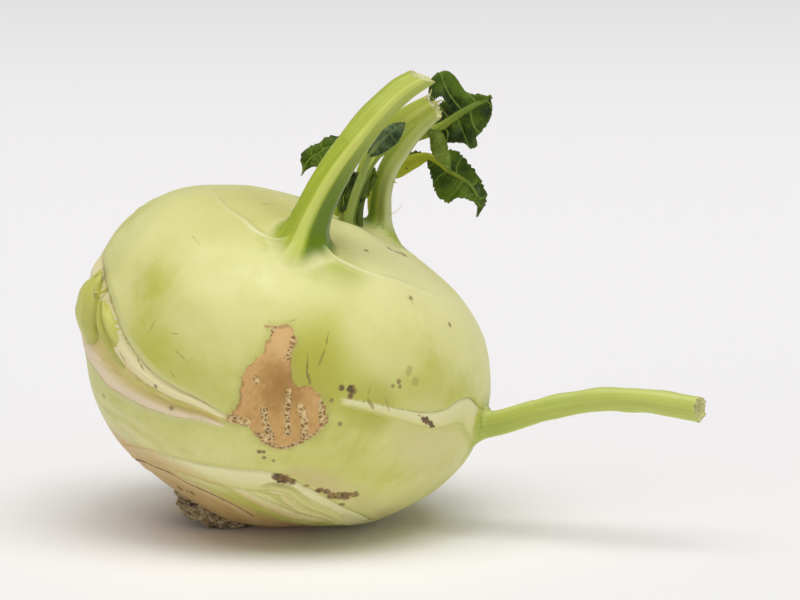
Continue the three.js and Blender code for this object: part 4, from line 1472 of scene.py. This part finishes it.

# %% [markdown]
# ## The floor
# A plain white floor that runs back past the horizon, with painted light and shade: a little brighter just
# behind the ball and greying with distance, as the light falls off. A backdrop with a curve would hide the
# horizon too, but a flat floor is simpler, and its own finish can grey it.

# %% Floor
FLOOR_REACH = 6.0  # metres
floor_recipe = Recipe("pale floor", Roughness=0.6)
backwards = part_of(floor_recipe, floor_recipe.place, "Y")
# Painted light falling off: brighter just behind the ball, greyer far away.
floor_tone = floor_recipe.over(
    (246, 244, 244),
    (backwards.step(-120, 420), (248, 246, 247)),
    (backwards.step(500, 2600), (221, 220, 221)))
floor_mesh = bpy.data.meshes.new("floor")
corners = [(x * FLOOR_REACH, y * FLOOR_REACH, 0) for x, y in ((-1, -1), (1, -1), (1, 1), (-1, 1))]
floor_mesh.from_pydata(corners, [], [(0, 1, 2, 3)])
floor_mesh.materials.append(floor_recipe.finish(Base_Color=floor_tone))
floor = bpy.data.objects.new("floor", floor_mesh)
bpy.context.scene.collection.objects.link(floor)
print("the floor is", 2 * FLOOR_REACH, "m wide")

# %% [markdown]
# ## The light
# Two broad soft boxes hang over the ball, one to each side, and two weaker ones fill in from the front.
# Each is a sun with a wide angle, which is as soft as a large box but lights every place alike. The
# surround is pale low down, where it meets the floor, and dim above.

# %% Soft boxes and surround
SOFT_BOXES = (  # how strong, and the way to it from the ball: right, back and up
    ("left overhead soft box", 1.2, (-0.28, -0.2, 1)), ("right overhead soft box", 1.45, (0.28, -0.2, 1)),
    ("left front soft box", 0.35, (-0.8, -1, 0.08)), ("right front soft box", 0.65, (1, -1, 0.0)))
BOX_ANGLE = math.radians(40)  # how much of the sky each one fills
DIM, PALE = 0.2, 0.8  # the surround high up and low down
SURROUND_EDGE = (0.16, 0.05)  # the heights, on a sphere of 1, between which it goes from dim to pale

for name, energy, towards in SOFT_BOXES:
    sun = bpy.data.lights.new(name, "SUN")
    sun.angle, sun.energy = BOX_ANGLE, energy
    lamp = bpy.data.objects.new(name, sun)
    lamp.rotation_euler = mathutils.Vector(towards).to_track_quat("Z", "Y").to_euler()
    bpy.context.scene.collection.objects.link(lamp)

world = bpy.data.worlds.new("surround")
world.use_nodes = True
sky, join = world.node_tree.nodes, world.node_tree.links.new
height, level = sky.new("ShaderNodeSeparateXYZ"), sky.new("ShaderNodeMapRange")
limits = zip(("From Min", "From Max", "To Min", "To Max"), (*SURROUND_EDGE, DIM, PALE))
for socket, value in limits:
    level.inputs[socket].default_value = value
join(sky.new("ShaderNodeTexCoord").outputs["Generated"], height.inputs[0])
join(height.outputs["Z"], level.inputs["Value"])
join(level.outputs[0], sky["Background"].inputs["Strength"])
sky["Background"].inputs["Color"].default_value = (1.0, 0.985, 0.98, 1.0)
bpy.context.scene.world = world
bpy.context.scene.view_settings.view_transform = "Standard"
print(len(SOFT_BOXES), "soft boxes, each", round(math.degrees(BOX_ANGLE)), "degrees wide")

# %% [markdown]
# ## The camera
# A long lens from a little above, as for a picture in a shop. A short lens from close by would swell
# the front of the ball, and this one keeps it round and still shows some of its crown.

# %% Camera
LENS, LOOKING_DOWN = 156.5, math.radians(9)

camera = bpy.data.cameras.new("camera")
camera.lens = LENS
camera.clip_end = 30
seat = bpy.data.objects.new("camera", camera)
seat.location = (0.023, -0.7902, 0.1772)
seat.rotation_euler = (math.pi / 2 - LOOKING_DOWN, 0, 0)
bpy.context.scene.collection.objects.link(seat)
bpy.context.scene.camera = seat
print("the camera is", round(seat.location.length, 2), "m from the foot of the ball")

# %% [markdown]
